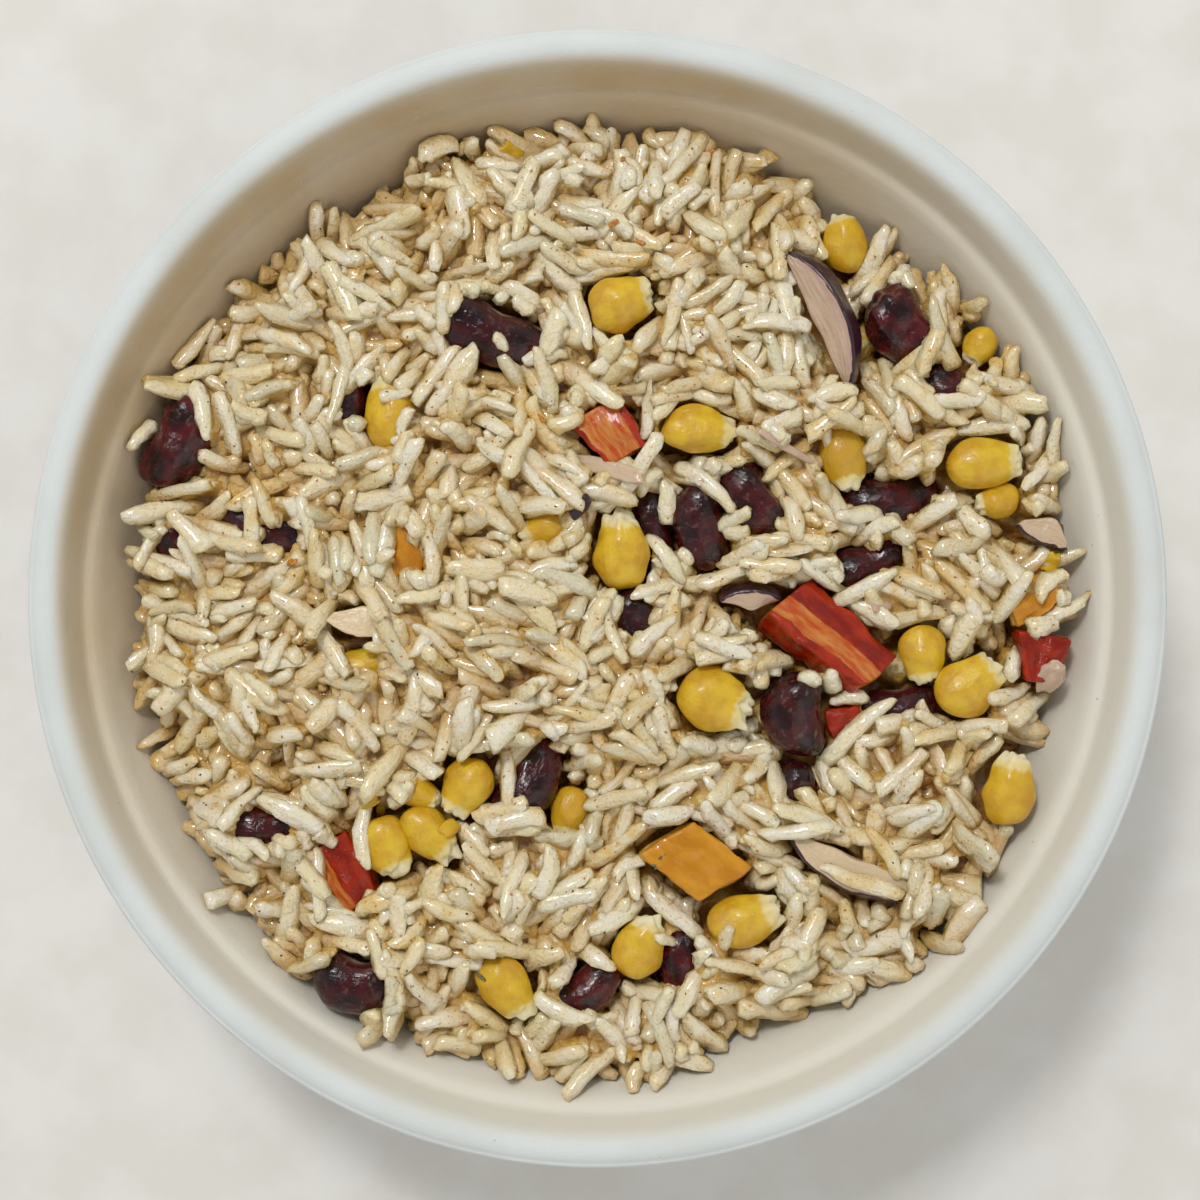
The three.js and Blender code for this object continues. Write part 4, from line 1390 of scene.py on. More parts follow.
@dataclass
class Mash:
    """The core: packed rice from the bowl's wall up, with crushed grains squeezed into the narrow gaps above it.

    closing is half the width of a gap that is filled, in cells, inset how far the filling keeps back from an open
    edge, and sag how far it lies below the grains beside it.
    """

    mound: Mound
    closing: int = 2
    inset: int = 1
    sag: float = 1.5
    gap: float = 0.3
    steps: int = 270

    def level(self, grain_tops: Array) -> Map:
        """The height of the mash between grains.

        Args:
            grain_tops: The height of the highest grain over each cell, or of the core where there is none.

        Returns:
            Its map.
        """
        closed = -spread(-spread(grain_tops, self.closing), self.closing + self.inset)
        core = self.mound.core.cells - 0.5
        return Map(np.maximum(core, closed - self.sag), self.mound.top.step, self.mound.top.reach)

    def edge(self, around: Array) -> Array:
        """How far out the core goes.

        Args:
            around: Directions in radians.

        Returns:
            Its radius in each.
        """
        trial = np.linspace(20.0, self.mound.bowl.rim_radius - 5.0, 220)
        floor = self.mound.bowl.wall_height(trial) + self.gap * 1.5
        edge = np.empty(len(around))
        for k, angle in enumerate(around):
            clear = self.mound.core.read(trial * math.cos(angle), trial * math.sin(angle)) > floor
            edge[k] = trial[np.argmin(clear)] if not clear.all() else trial[-1]
        return edge

    def build(self, level: Map) -> bpy.types.Object:
        """Makes the core as one closed skin: a square net drawn round on top, and rings below.

        Args:
            level: The height of the mash.

        Returns:
            The piece.
        """
        steps = self.steps
        line = np.linspace(-1.0, 1.0, steps + 1)
        a, b = np.meshgrid(line, line, indexing="ij")
        wide = np.abs(a) >= np.abs(b)
        reach = np.where(wide, a, b)
        share = np.where(wide, b, a) / np.where(reach == 0.0, 1.0, reach)
        angle = np.where(wide, share * math.pi / 4, math.pi / 2 - share * math.pi / 4)
        angle = np.where(reach < 0.0, angle + math.pi, angle) % (2 * math.pi)
        around = np.linspace(0.0, 2 * math.pi, 361)
        edge = np.interp(angle, around, self.edge(around))
        radius = np.abs(reach) * edge
        x, y = radius * np.cos(angle), radius * np.sin(angle)
        floor = self.mound.bowl.wall_height(radius) + self.gap
        rim = np.abs(reach) > 1.0 - 0.5 / steps
        top = np.where(rim, floor, np.maximum(level.read(x, y), floor + 0.05))
        points = np.stack([x.ravel(), y.ravel(), top.ravel()], axis=1)
        index = np.arange((steps + 1) ** 2).reshape(steps + 1, steps + 1)
        squares = np.stack([index[:-1, :-1], index[1:, :-1], index[1:, 1:], index[:-1, 1:]], axis=-1)
        faces = [tuple(square) for square in squares.reshape(-1, 4).tolist()]
        loop = np.concatenate([index[:-1, 0], index[-1, :-1], index[:0:-1, -1], index[0, :0:-1]])
        ring = loop
        for shrink in (0.85, 0.6, 0.3):
            inner = points[loop, :2] * shrink
            level_below = self.mound.bowl.wall_height(np.hypot(inner[:, 0], inner[:, 1])) + self.gap
            start = len(points)
            points = np.concatenate([points, np.column_stack([inner, level_below])])
            lower = np.arange(start, start + len(loop))
            for k in range(len(loop)):
                after = (k + 1) % len(loop)
                faces.append((int(ring[k]), int(lower[k]), int(lower[after]), int(ring[after])))
            ring = lower
        points = np.concatenate([points, [[0.0, 0.0, self.mound.bowl.floor_height + self.gap]]])
        last = len(points) - 1
        faces += [(int(ring[k]), last, int(ring[(k + 1) % len(loop)])) for k in range(len(loop))]
        mesh = Shape(points, faces).mesh("packed_rice")
        mesh.materials.append(MashedRice().make())
        return add_piece("packed_rice", mesh, ["rice"])


# ---- The grains ----
class GrainKind(Enum):
    """The kinds of loose grain, each one piece of the model."""

    WHOLE_LOWER = "rice_whole_lower"
    WHOLE_UPPER = "rice_whole_upper"
    BROKEN = "rice_broken"


@dataclass(frozen=True)
class GrainForms:
    """The differently shaped grains that all others are copies of, one millimetre in each of their sizes."""

    count: int = 26
    rings: int = 8
    sides: int = 7
    seed: int = 5

    def form(self, number: int) -> Shape:
        """One grain, boiled soft: blunt, slanting or burst ends, a bend, a waist and flat sides.

        Args:
            number: Which of the forms.

        Returns:
            The grain, one unit long, wide and thick.
        """
        rng = np.random.default_rng(self.seed + number)
        bend = rng.normal(0.0, 0.13, 2)
        blunt = rng.uniform(0.34, 0.8, 2)
        waist = rng.uniform(-0.16, 0.16)
        square = rng.uniform(0.03, 0.16)
        phase = rng.uniform(0.0, 2 * math.pi, 2)
        slant = rng.uniform(-0.3, 0.3, 2)
        slim = rng.uniform(-0.3, 0.3)
        twist = rng.uniform(-0.5, 0.5)

        def place(axial: Array, radial: Array, angle: Array) -> Array:
            """Points of the grain's surface, as barrel asks for them."""
            power = np.where(axial > 0, blunt[0], blunt[1])
            along = np.sign(axial) * np.abs(axial) ** 0.8
            girth = radial**power * (1.0 + waist * (along**2 - 0.4) + slim * along)
            girth = girth * (1.0 + square * np.cos(4 * angle + phase[0]) + 0.5 * square * np.cos(3 * angle + phase[1]))
            swung = angle + twist * along
            y = girth * np.cos(swung) * 0.5 + bend[0] * (along**2 - 0.4)
            z = girth * np.sin(swung) * 0.5 + bend[1] * (along**2 - 0.4)
            cut = np.where(axial > 0, slant[0], slant[1])
            return np.stack([along * 0.5 + cut * y * np.abs(along) ** 3 * 0.6, y, z], axis=1)

        grain = barrel(self.rings, self.sides, place)
        away = grain.points / np.maximum(np.linalg.norm(grain.points, axis=1, keepdims=True), 1e-6)
        knobs = waves(grain.points * (3.0, 1.0, 1.0), 0.8, self.seed * 100 + number)
        grain.points += away * (0.075 * knobs)[:, None] * (0.3, 1.0, 1.0)
        return grain

    def collection(self) -> bpy.types.Collection:
        """The forms as a collection of objects, in order of number."""
        group = bpy.data.collections.new("grain_forms")
        for number in range(self.count):
            shape = self.form(number)
            # Rest places in millimetres of a mean grain, for the finish's ridges.
            shape.values["rest"] = shape.points * (8.4, 3.2, 2.6)
            shape.points = shape.points / MM
            mesh = shape.mesh(f"grain_{number:02d}")
            group.objects.link(bpy.data.objects.new(f"grain_{number:02d}", mesh))
        return group


@dataclass(frozen=True)
class Rest:
    """How something comes to rest on the pile.

    It holds its middle's height, its slope, the window of cells round it, which of them it covers, its top over
    those, and the mean of the guard under it.
    """

    height: float
    slope: float
    window: tuple[slice, slice]
    under: Array
    top: Array
    guard: float


@dataclass(frozen=True)
class Grain:
    """One grain as it lies: its middle, its heading and roll in radians, its size, its looks and its rest."""

    x: float
    y: float
    heading: float
    roll: float
    size: Size
    kind: GrainKind
    form: int
    tone: float
    dressing: float
    rest: Rest


@dataclass(frozen=True)
class ShownGrain:
    """A grain that the photograph shows lying across other pieces.

    start and end are the pixels of its two ends, width is its width in millimetres, and tone its look.
    """

    start: tuple[float, float]
    end: tuple[float, float]
    width: float = 2.7
    tone: float = 0.3

    @property
    def middle(self) -> tuple[float, float]:
        """X and Y of its middle."""
        across, down = ((a + b) / 2.0 for a, b in zip(self.start, self.end))
        return VIEW.point(across, down, PIECE_HEIGHT)

    @property
    def heading(self) -> float:
        """Its heading in radians."""
        return math.atan2(self.start[1] - self.end[1], self.end[0] - self.start[0])

    @property
    def length(self) -> float:
        """Its length in millimetres."""
        return math.dist(self.start, self.end) * VIEW.pixel(PIECE_HEIGHT)


SHOWN_GRAINS = [ShownGrain(*row) for row in (
    # Over the bean at the far left, and the large grains beside it.
    ((445, 281), (442, 334), 2.8),
    ((457, 279), (453, 317), 2.2),
    ((493, 333), (507, 351), 2.0),
    ((500, 350), (525, 400), 2.6, 0.95),
    ((551, 356), (624, 408), 3.4),
    # Over the kernel and the bean at the left.
    ((378, 397), (412, 391), 2.0),
    ((409, 405), (399, 440), 2.2, 0.6),
    ((413, 404), (457, 344), 3.0),
    ((430, 414), (477, 346), 3.2),
    ((468, 408), (514, 439), 2.8),
    # Over the three beans in the middle.
    ((676, 457), (738, 508), 2.9),
    ((714, 533), (757, 504), 2.6),
    ((723, 530), (752, 533), 2.6, 0.9),
    ((667, 475), (670, 525), 2.8),
    ((650, 533), (686, 581), 2.9, 0.6),
    ((680, 549), (693, 563), 2.3),
    # Round the large dice and the bean beside it.
    ((826, 765), (897, 697), 3.2),
    ((740, 790), (792, 742), 2.8),
    ((832, 702), (874, 698), 2.6),
    ((832, 664), (836, 697), 2.6),
    ((799, 676), (823, 681), 2.6),
    ((836, 604), (900, 570), 3.0),
    # Between the pieces at the right.
    ((998, 627), (1032, 566), 3.0),
    ((1036, 600), (1066, 571), 3.2, 0.6),
    ((1030, 630), (1064, 621), 3.4, 0.6),
    ((1013, 682), (1023, 646), 3.2),
    ((987, 702), (1041, 687), 3.0),
    ((1009, 727), (1064, 693), 3.1),
    # Over the bean at the far left edge.
    ((126, 499), (219, 481), 2.7),
    ((124, 451), (149, 416), 2.8),
    ((190, 378), (207, 440), 3.0),
    ((214, 388), (234, 456), 3.2),
    ((188, 452), (246, 468), 3.0),
    # By the kernels and the dice at the near left.
    ((363, 873), (361, 808), 2.9),
    ((385, 810), (417, 779), 2.9),
    ((383, 782), (409, 801), 2.6, 0.6),
    ((583, 876), (651, 822), 3.0),
    ((611, 882), (643, 861), 2.8),
    ((727, 847), (742, 835), 2.4),
    ((637, 887), (703, 944), 3.6),
    ((724, 955), (731, 925), 2.4, 0.95),
    ((652, 938), (680, 951), 2.2),
    ((531, 1001), (592, 1026), 3.0),
    ((821, 868), (904, 897), 3.0),
)]

# Where the dressing has gathered and stained the rice, as pixels of the photograph.
STAINS = [(540, 420), (290, 565), (1000, 380), (982, 360), (715, 150), (760, 620), (470, 650)]


@dataclass
class RicePile:
    """Loose boiled grains, dropped one by one on the core, the bowl's wall, the pieces and each other.

    The first four fields are a mean grain's size and how its girth varies. press is how far a grain sinks in, and
    share the part of it that lies free of what is under it. broken, propped and astray are the shares of grains that
    are broken, lean on others, and lie in any direction. headroom is how far a grain's middle may rise past the
    mound's top, and upper_layer how far below it the upper grains begin. Pouring tries places_tried places at a time
    and drops a grain at the lowest, until none lacks least_lack for patience times, or limit grains are laid.
    """

    mound: Mound
    length: float = 8.8
    width: float = 2.8
    thickness: float = 2.3
    girths: tuple[float, float] = (0.78, 1.24)
    press: float = 0.9
    share: float = 0.68
    broken: float = 0.2
    propped: float = 0.2
    astray: float = 0.34
    headroom: float = 1.1
    upper_layer: float = 1.1
    least_lack: float = 0.4
    places_tried: int = 50
    patience: int = 700
    limit: int = 4200
    seed: int = 2024
    grains: list[Grain] = field(default_factory=list)

    def __post_init__(self) -> None:
        """Starts with the bare core in the bowl."""
        self.rng = np.random.default_rng(self.seed)
        self.surface = Map(np.maximum(self.mound.core.cells, self.mound.wall.cells).copy())
        self.grain_tops = self.mound.core.cells.copy()
        self.guard = Map.filled(0.0)
        self.target = self.mound.top.cells.copy()
        self.ceiling = Map(self.mound.top.cells + self.headroom)
        x, y = self.surface.axes()
        places = np.stack([x.ravel(), y.ravel()], axis=1)
        pools = 0.42 + 0.42 * waves(places, 24.0, 31) + 0.3 * waves(places, 8.0, 32)
        pools = pools.reshape(x.shape)
        for across, down in STAINS:
            stain_x, stain_y = VIEW.point(across, down)
            pools += 1.2 * bump(np.hypot(x - stain_x, y - stain_y) / 4.0)
        self.pools = Map(np.clip(pools, 0.0, 1.6))

    def protect(self, shapes: Sequence[Shape], pieces: Sequence[Morsel]) -> None:
        """Stands the pieces on the surface, and keeps grains off them where they show.

        Args:
            shapes: The pieces' placed shapes.
            pieces: The pieces, in the same order.
        """
        x, y = self.surface.axes()
        for shape, piece in zip(shapes, pieces):
            own = Map.filled(-1.0)
            own.heap(shape.points)
            own.cells = spread(own.cells)
            upper = (own.cells > 0.0) & (own.cells > self.surface.cells)
            shows = piece.shows(x, y)
            self.surface.cells = np.maximum(self.surface.cells, own.cells)
            self.guard.cells[upper] = shows[upper]
            hidden = np.where(upper & ~shows, own.cells, -1.0)
            near = spread(hidden, 4)
            self.ceiling.cells = np.maximum(self.ceiling.cells, near + 1.9)
            self.target = np.maximum(self.target, np.where(hidden > 0.0, hidden + 1.4, 0.0))

    def make_room(self, shown: Sequence[ShownGrain]) -> None:
        """Keeps the heap low where some grains are laid last.

        Args:
            shown: The grains that the photograph shows.
        """
        x, y = self.surface.axes()
        for grain in shown:
            middle_x, middle_y = grain.middle
            along = (x - middle_x) * math.cos(grain.heading) + (y - middle_y) * math.sin(grain.heading)
            across = -(x - middle_x) * math.sin(grain.heading) + (y - middle_y) * math.cos(grain.heading)
            over = (np.abs(along) < grain.length / 2 + 0.6) & (np.abs(across) < grain.width / 2 + 0.9)
            low = self.mound.top.cells - 1.2
            self.ceiling.cells[over] = np.minimum(self.ceiling.cells, low)[over]
            self.target[over] = np.minimum(self.target, low - 0.6)[over]

    def heading_at(self, x: float, y: float) -> float:
        """The heading of a grain dropped at a place."""
        if self.rng.uniform() < self.astray:
            return float(self.rng.uniform(0.0, math.pi))
        clumps = self.mound.clumps
        nearest = np.argmin(np.square(clumps[:, 0] - x) + np.square(clumps[:, 1] - y))
        return float(clumps[nearest, 2] + self.rng.normal(0.0, 0.32))

    def settle(self, x: float, y: float, heading: float, size: Size, tilt: float = 0.0) -> Rest:
        """Finds how a grain comes to rest.

        Args:
            x: Where its middle is dropped.
            y: The same, along Y.
            heading: Its heading in radians.
            size: Its length, width and thickness.
            tilt: How much steeper than at rest it is left, as a slope.

        Returns:
            Its rest.
        """
        length, width, thickness = size
        grid = self.surface
        half = int(length / 2 / grid.step) + 2
        i, j = int(grid.index(x)), int(grid.index(y))
        i = min(max(i, half), len(grid.cells) - half - 1)
        j = min(max(j, half), len(grid.cells) - half - 1)
        window = (slice(i - half, i + half + 1), slice(j - half, j + half + 1))
        line = np.arange(-half, half + 1) * grid.step
        dx = (line + i * grid.step - grid.reach - x)[:, None]
        dy = (line + j * grid.step - grid.reach - y)[None, :]
        along = dx * math.cos(heading) + dy * math.sin(heading)
        across = -dx * math.sin(heading) + dy * math.cos(heading)
        u = np.abs(along) / (length / 2)
        girth = 1.0 - np.minimum(u, 1.0) ** 3
        rise = np.clip(girth - np.square(across / (width / 2)), 0.0, None)
        under = rise > 0.0
        bulge = np.sqrt(rise[under]) * thickness / 2
        reach = along[under]
        need = grid.cells[window][under] + bulge
        slopes = np.linspace(-0.9, 0.9, 13)
        rank = int(len(need) * self.share)
        rests = np.partition(need[:, None] - reach[:, None] * slopes, rank, axis=0)[rank]
        slope = float(slopes[np.argmin(rests)]) + tilt
        height = float(np.partition(need - reach * slope, rank)[rank]) - self.press
        wall = self.mound.wall.cells[window][under] + bulge - reach * slope
        height = max(height, float(wall.max()))
        top = height + reach * slope + bulge
        return Rest(height, slope, window, under, top, float(self.guard.cells[window][under].mean()))

    def drop(self, x: float, y: float, heading: float, size: Size, kind: GrainKind, tilt: float) -> bool:
        """Drops one grain, unless it would stand too high or hide a piece.

        Args:
            x: Where its middle is dropped.
            y: The same, along Y.
            heading: Its heading in radians.
            size: Its length, width and thickness.
            kind: Which kind it is.
            tilt: How much steeper than at rest it is left.

        Returns:
            Whether it was laid.
        """
        ceiling = float(self.ceiling.read(x, y))
        if float(self.surface.read(x, y)) > ceiling - 0.1:
            return False
        rest = self.settle(x, y, heading, size, tilt)
        if rest.guard > 0.06 + 0.08 * self.rng.uniform() or rest.height > ceiling:
            return False
        self.lay(x, y, heading, size, kind, float(self.rng.uniform()), rest)
        return True

    def lay(self, x: float, y: float, heading: float, size: Size, kind: GrainKind, tone: float, rest: Rest) -> None:
        """Adds a grain that has come to rest, and raises the surface by it.

        Args:
            x: Its middle's X.
            y: Its middle's Y.
            heading: Its heading in radians.
            size: Its length, width and thickness.
            kind: Its kind. A whole grain is sorted by its height.
            tone: Its look.
            rest: How it lies.
        """
        for cells in (self.surface.cells[rest.window], self.grain_tops[rest.window]):
            cells[rest.under] = np.maximum(cells[rest.under], rest.top)
        if kind is not GrainKind.BROKEN:
            lower = rest.height < float(self.mound.top.read(x, y)) - self.upper_layer
            kind = GrainKind.WHOLE_LOWER if lower else GrainKind.WHOLE_UPPER
        roll = float(self.rng.uniform(0, 2 * math.pi))
        form = int(self.rng.integers(0, GrainForms.count))
        dressing = float(np.clip(self.pools.read(x, y) + self.rng.normal(0.0, 0.16), 0.0, 1.4))
        self.grains.append(Grain(x, y, heading, roll, size, kind, form, tone, dressing, rest))

    def random_size(self) -> tuple[GrainKind, Size]:
        """The kind and size of the next grain."""
        rng = self.rng
        width, thickness = self.width * rng.uniform(*self.girths), self.thickness * rng.uniform(0.85, 1.15)
        if rng.uniform() < self.broken:
            return GrainKind.BROKEN, (float(rng.uniform(2.2, 5.4)), width * 0.92, thickness)
        return GrainKind.WHOLE_UPPER, (float(np.clip(rng.normal(self.length, 1.3), 5.6, 11.4)), width, thickness)

    def pour(self) -> None:
        """Drops grains where the surface is furthest below the mound's top, until it is full."""
        inside = np.argwhere(self.mound.inside & (self.target > self.mound.wall.cells + 0.6))
        misses = 0
        x, y = self.surface.axes()
        while len(self.grains) < self.limit and misses < self.patience:
            picks = inside[self.rng.integers(0, len(inside), self.places_tried)]
            lack = self.target[picks[:, 0], picks[:, 1]] - self.surface.cells[picks[:, 0], picks[:, 1]]
            best = int(np.argmax(lack))
            if lack[best] < self.least_lack:
                misses += 1
                continue
            i, j = picks[best]
            kind, size = self.random_size()
            tilt = float(self.rng.normal(0.0, 0.1))
            if self.rng.uniform() < self.propped:
                tilt = float(self.rng.choice([-1, 1]) * self.rng.uniform(0.25, 0.8))
            heading = self.heading_at(x[i, j], y[i, j])
            jitter = self.rng.normal(0.0, 0.4, 2)
            if not self.drop(x[i, j] + jitter[0], y[i, j] + jitter[1], heading, size, kind, tilt):
                # A place that keeps refusing grains is not tried for long.
                self.target[i - 1 : i + 2, j - 1 : j + 2] -= 0.5
        LOG.info("%d grains dropped", len(self.grains))

    def place_shown(self, shown: Sequence[ShownGrain]) -> None:
        """Lays the grains that the photograph shows across other pieces."""
        for grain in shown:
            x, y = grain.middle
            size = (grain.length, grain.width, grain.width * 0.8)
            rest = self.settle(x, y, grain.heading, size)
            self.lay(x, y, grain.heading, size, GrainKind.WHOLE_UPPER, grain.tone, rest)

    def thin_out(self, mash: Map) -> None:
        """Leaves out the grains that the mash hides."""
        rests = [grain.rest for grain in self.grains]
        shows = [(rest.top > mash.cells[rest.window][rest.under] + 0.1).any() for rest in rests]
        self.grains = [grain for grain, shown in zip(self.grains, shows) if shown]
        LOG.info("%d of %d grains are above the mash", len(self.grains), len(rests))

    def tree(self, forms: bpy.types.Collection, material: bpy.types.Material) -> Nodes:
        """The node tree that puts a form at each point and makes every grain a little different.

        Args:
            forms: The grain forms.
            material: The grains' finish.

        Returns:
            The tree.
        """
        nodes = Nodes("laid_grains")
        group = nodes.input("Grain forms", "Collection", forms)
        picks = nodes.add("GeometryNodeCollectionInfo", {0: group, 1: True, 2: True})
        pose = nodes.add("FunctionNodeEulerToRotation", {0: nodes.named("pose", "FLOAT_VECTOR")})
        inputs = {
            "Points": nodes.start.outputs[0],
            "Instance": picks.outputs[0],
            "Pick Instance": True,
            "Instance Index": nodes.named("form", "INT"),
            "Rotation": pose.outputs[0],
            "Scale": nodes.named("size", "FLOAT_VECTOR"),
        }
        copies = nodes.add("GeometryNodeInstanceOnPoints", inputs)
        grown = nodes.add("GeometryNodeRealizeInstances", {"Geometry": copies.outputs[0]}).outputs[0]
        for name, depth, length in (("Swelling", 0.4, 3.4), ("Lumps", 0.55, 1.5)):
            warp = nodes.input(name, "Float", depth * MM)
            rate = nodes.input(f"{name} per metre", "Float", 1.0 / (length * MM))
            cloud = nodes.add("ShaderNodeTexNoise", {"Scale": rate, "Detail": 0.0})
            middle = {0: cloud.outputs["Color"], 1: (0.5, 0.5, 0.5)}
            centred = nodes.add("ShaderNodeVectorMath", middle, operation="SUBTRACT")
            shift = nodes.scaled(centred.outputs[0], warp)
            moved = nodes.add("GeometryNodeSetPosition", {"Geometry": grown, "Offset": shift})
            grown = moved.outputs[0]
        nodes.finish(grown, material)
        return nodes

    def points(self, grains: Sequence[Grain], name: str) -> bpy.types.Mesh:
        """Grains as bare points that carry their pose, size, form and looks.

        Args:
            grains: The grains.
            name: The mesh's name.

        Returns:
            A mesh of points.
        """
        mesh = bpy.data.meshes.new(name)
        mesh.from_pydata([(g.x * MM, g.y * MM, g.rest.height * MM) for g in grains], [], [])
        # The forms are in metres per millimetre of size, and a slope up is a lean back.
        store(mesh, "size", np.array([g.size for g in grains]) * MM)
        store(mesh, "pose", np.array([(g.roll, -math.atan(g.rest.slope), g.heading) for g in grains]))
        for key in ("tone", "dressing"):
            store(mesh, key, np.array([getattr(g, key) for g in grains]))
        attribute = mesh.attributes.new("form", "INT", "POINT")
        attribute.data.foreach_set("value", [g.form for g in grains])
        return mesh

    def shade(self, mesh: bpy.types.Mesh) -> None:
        """Stores how deep each point lies under the grains round it, which the rice and the mash paint as shade."""
        level = Map(blurred(spread(self.grain_tops, 3), 8.0))
        flat = np.empty(len(mesh.vertices) * 3, dtype=np.float32)
        mesh.vertices.foreach_get("co", flat)
        place = flat.reshape(-1, 3) / MM
        store(mesh, "depth", np.clip(level.read(place[:, 0], place[:, 1]) - place[:, 2], 0.0, 8.0))

    def build(self) -> list[bpy.types.Object]:
        """Makes one piece of each kind of grain."""
        forms = GrainForms().collection()
        tree = self.tree(forms, BoiledRice().make())
        pieces = []
        for kind in GrainKind:
            chosen = [grain for grain in self.grains if grain.kind is kind]
            mesh = tree.grow(kind.value, self.points(chosen, f"{kind.value}_points"))
            self.shade(mesh)
            pieces.append(add_piece(kind.value, mesh))
        for form in list(forms.objects):
            bpy.data.objects.remove(form)
        bpy.data.collections.remove(forms)
        return pieces


# ---- What is strewn on top ----
@dataclass(frozen=True)
class Specks:
    """Ground spice strewn over the grains.

    spread is how many there are on each square metre of grain, sizes are their least and greatest width in
    millimetres, and patchiness is how unevenly they lie.
    """

    name: str
    finish: GroundSpice
    slot: str
    spread: float
    sizes: tuple[float, float]
    patchiness: float = 0.5
    seed: int = 1

    def strew(self, ground: bpy.types.Mesh) -> bpy.types.Object:
        """Lays chips on the upper faces of a mesh.

        Args:
            ground: The mesh that they lie on.

        Returns:
            The piece.
        """
        nodes = Nodes(self.name)
        dense = nodes.input("Chips per square metre", "Float", self.spread)
        least = nodes.input("Least size", "Float", self.sizes[0] * MM)
        most = nodes.input("Greatest size", "Float", self.sizes[1] * MM)
        seed = nodes.input("Seed", "Int", self.seed)
        facing = nodes.parts(nodes.add("GeometryNodeInputNormal").outputs[0])[2]
        upper = nodes.math("GREATER_THAN", facing, 0.4)
        cloud = nodes.add("ShaderNodeTexNoise", {"Scale": 1.0 / (14.0 * MM), "Detail": 2.0})
        span = {"From Min": 0.4, "From Max": 0.62, "To Min": 1.0 - self.patchiness}
        patch = nodes.add("ShaderNodeMapRange", {"Value": cloud.outputs["Fac"], **span})
        there = nodes.math("MULTIPLY", dense, patch.outputs[0])
        inputs = {"Mesh": nodes.start.outputs[0], "Selection": upper, "Density": there}
        spots = nodes.add("GeometryNodeDistributePointsOnFaces", {**inputs, "Seed": seed})
        ball = nodes.add("GeometryNodeMeshIcoSphere", {"Radius": 0.5, "Subdivisions": 1})
        chip = nodes.add("GeometryNodeTransform", {"Geometry": ball.outputs[0], "Scale": (1.0, 0.7, 0.55)})
        size = nodes.add("FunctionNodeRandomValue", {2: least, 3: most, "Seed": seed}, data_type="FLOAT")
        swing = nodes.add("FunctionNodeRandomValue", {1: (6.2, 1.0, 6.2), "Seed": seed}, data_type="FLOAT_VECTOR")
        turn = nodes.add("FunctionNodeEulerToRotation", {0: swing.outputs[0]})
        pose = {"Points": spots.outputs[0], "Instance": chip.outputs[0], "Rotation": turn.outputs[0]}
        copies = nodes.add("GeometryNodeInstanceOnPoints", {**pose, "Scale": size.outputs[1]})
        nodes.finish(copies.outputs[0], self.finish.make())
        return add_piece(self.name, nodes.grow(self.name, ground))


# How far a scrap's middle lies above where a grain's would.
SCRAP_LIFT = 0.35


@dataclass(frozen=True)
class Scrap:
    """A small bit of topping that lies on the rice: its place in the photograph, its size in millimetres."""

    at: tuple[float, float]
    size: Size
    turn: float = 0.0
    tone: float = 0.3


@dataclass
class Scraps:
    """Small bits of one kind, as one piece."""

    name: str
    slot: str
    finish: object
    bits: Sequence[Scrap]

    def shape(self, bit: Scrap, number: int) -> Shape:
        """One bit: a thin torn flake.

        Args:
            bit: Its size and look.
            number: Its number, which fixes its chance details.

        Returns:
            The flake, flat and unplaced.
        """
        length, width, thickness = bit.size
        flake = block((length / 2, width / 2, thickness / 2), min(0.3, thickness * 0.45), 8)
        rest = flake.points
        torn = 0.1 * width * waves(rest * (0.6, 1.0, 1.0), 1.6, 300 + number)
        flake.points = rest + np.stack([torn, torn * 0.8, 0.16 * waves(rest, 2.4, 400 + number)], axis=1)
        narrow = 1.0 - 0.35 * np.square(rest[:, 0] / (length / 2))
        flake.points[:, 1] *= narrow
        count = len(rest)
        flake.values["tone"] = np.full(count, bit.tone)
        flake.values["cut"] = 0.3 * ramp(rest[:, 0] / (length / 2), 0.4, 1.0)
        flake.values["rind"] = np.full(count, 1.0 if bit.tone > 0.5 else 0.0)
        flake.values["blush"] = np.full(count, 0.35)
        return flake

    def build(self, pile: RicePile) -> bpy.types.Object:
        """Lays each bit on the pile and joins them.

        Args:
            pile: The grains that they lie on.

        Returns:
            The piece.
        """
        shapes = []
        for number, bit in enumerate(self.bits):
            shape = self.shape(bit, number)
            x, y = VIEW.point(*bit.at, PIECE_HEIGHT)
            rest = pile.settle(x, y, math.radians(bit.turn), bit.size)
            points = turned(shape.points, bit.turn, -math.degrees(math.atan(rest.slope)))
            points = points + (x, y, rest.height + SCRAP_LIFT)
            shapes.append(Shape(points, shape.faces, shape.values))
        mesh = joined(shapes).mesh(self.name)
        mesh.materials.append(self.finish.make())
        return add_piece(self.name, mesh)


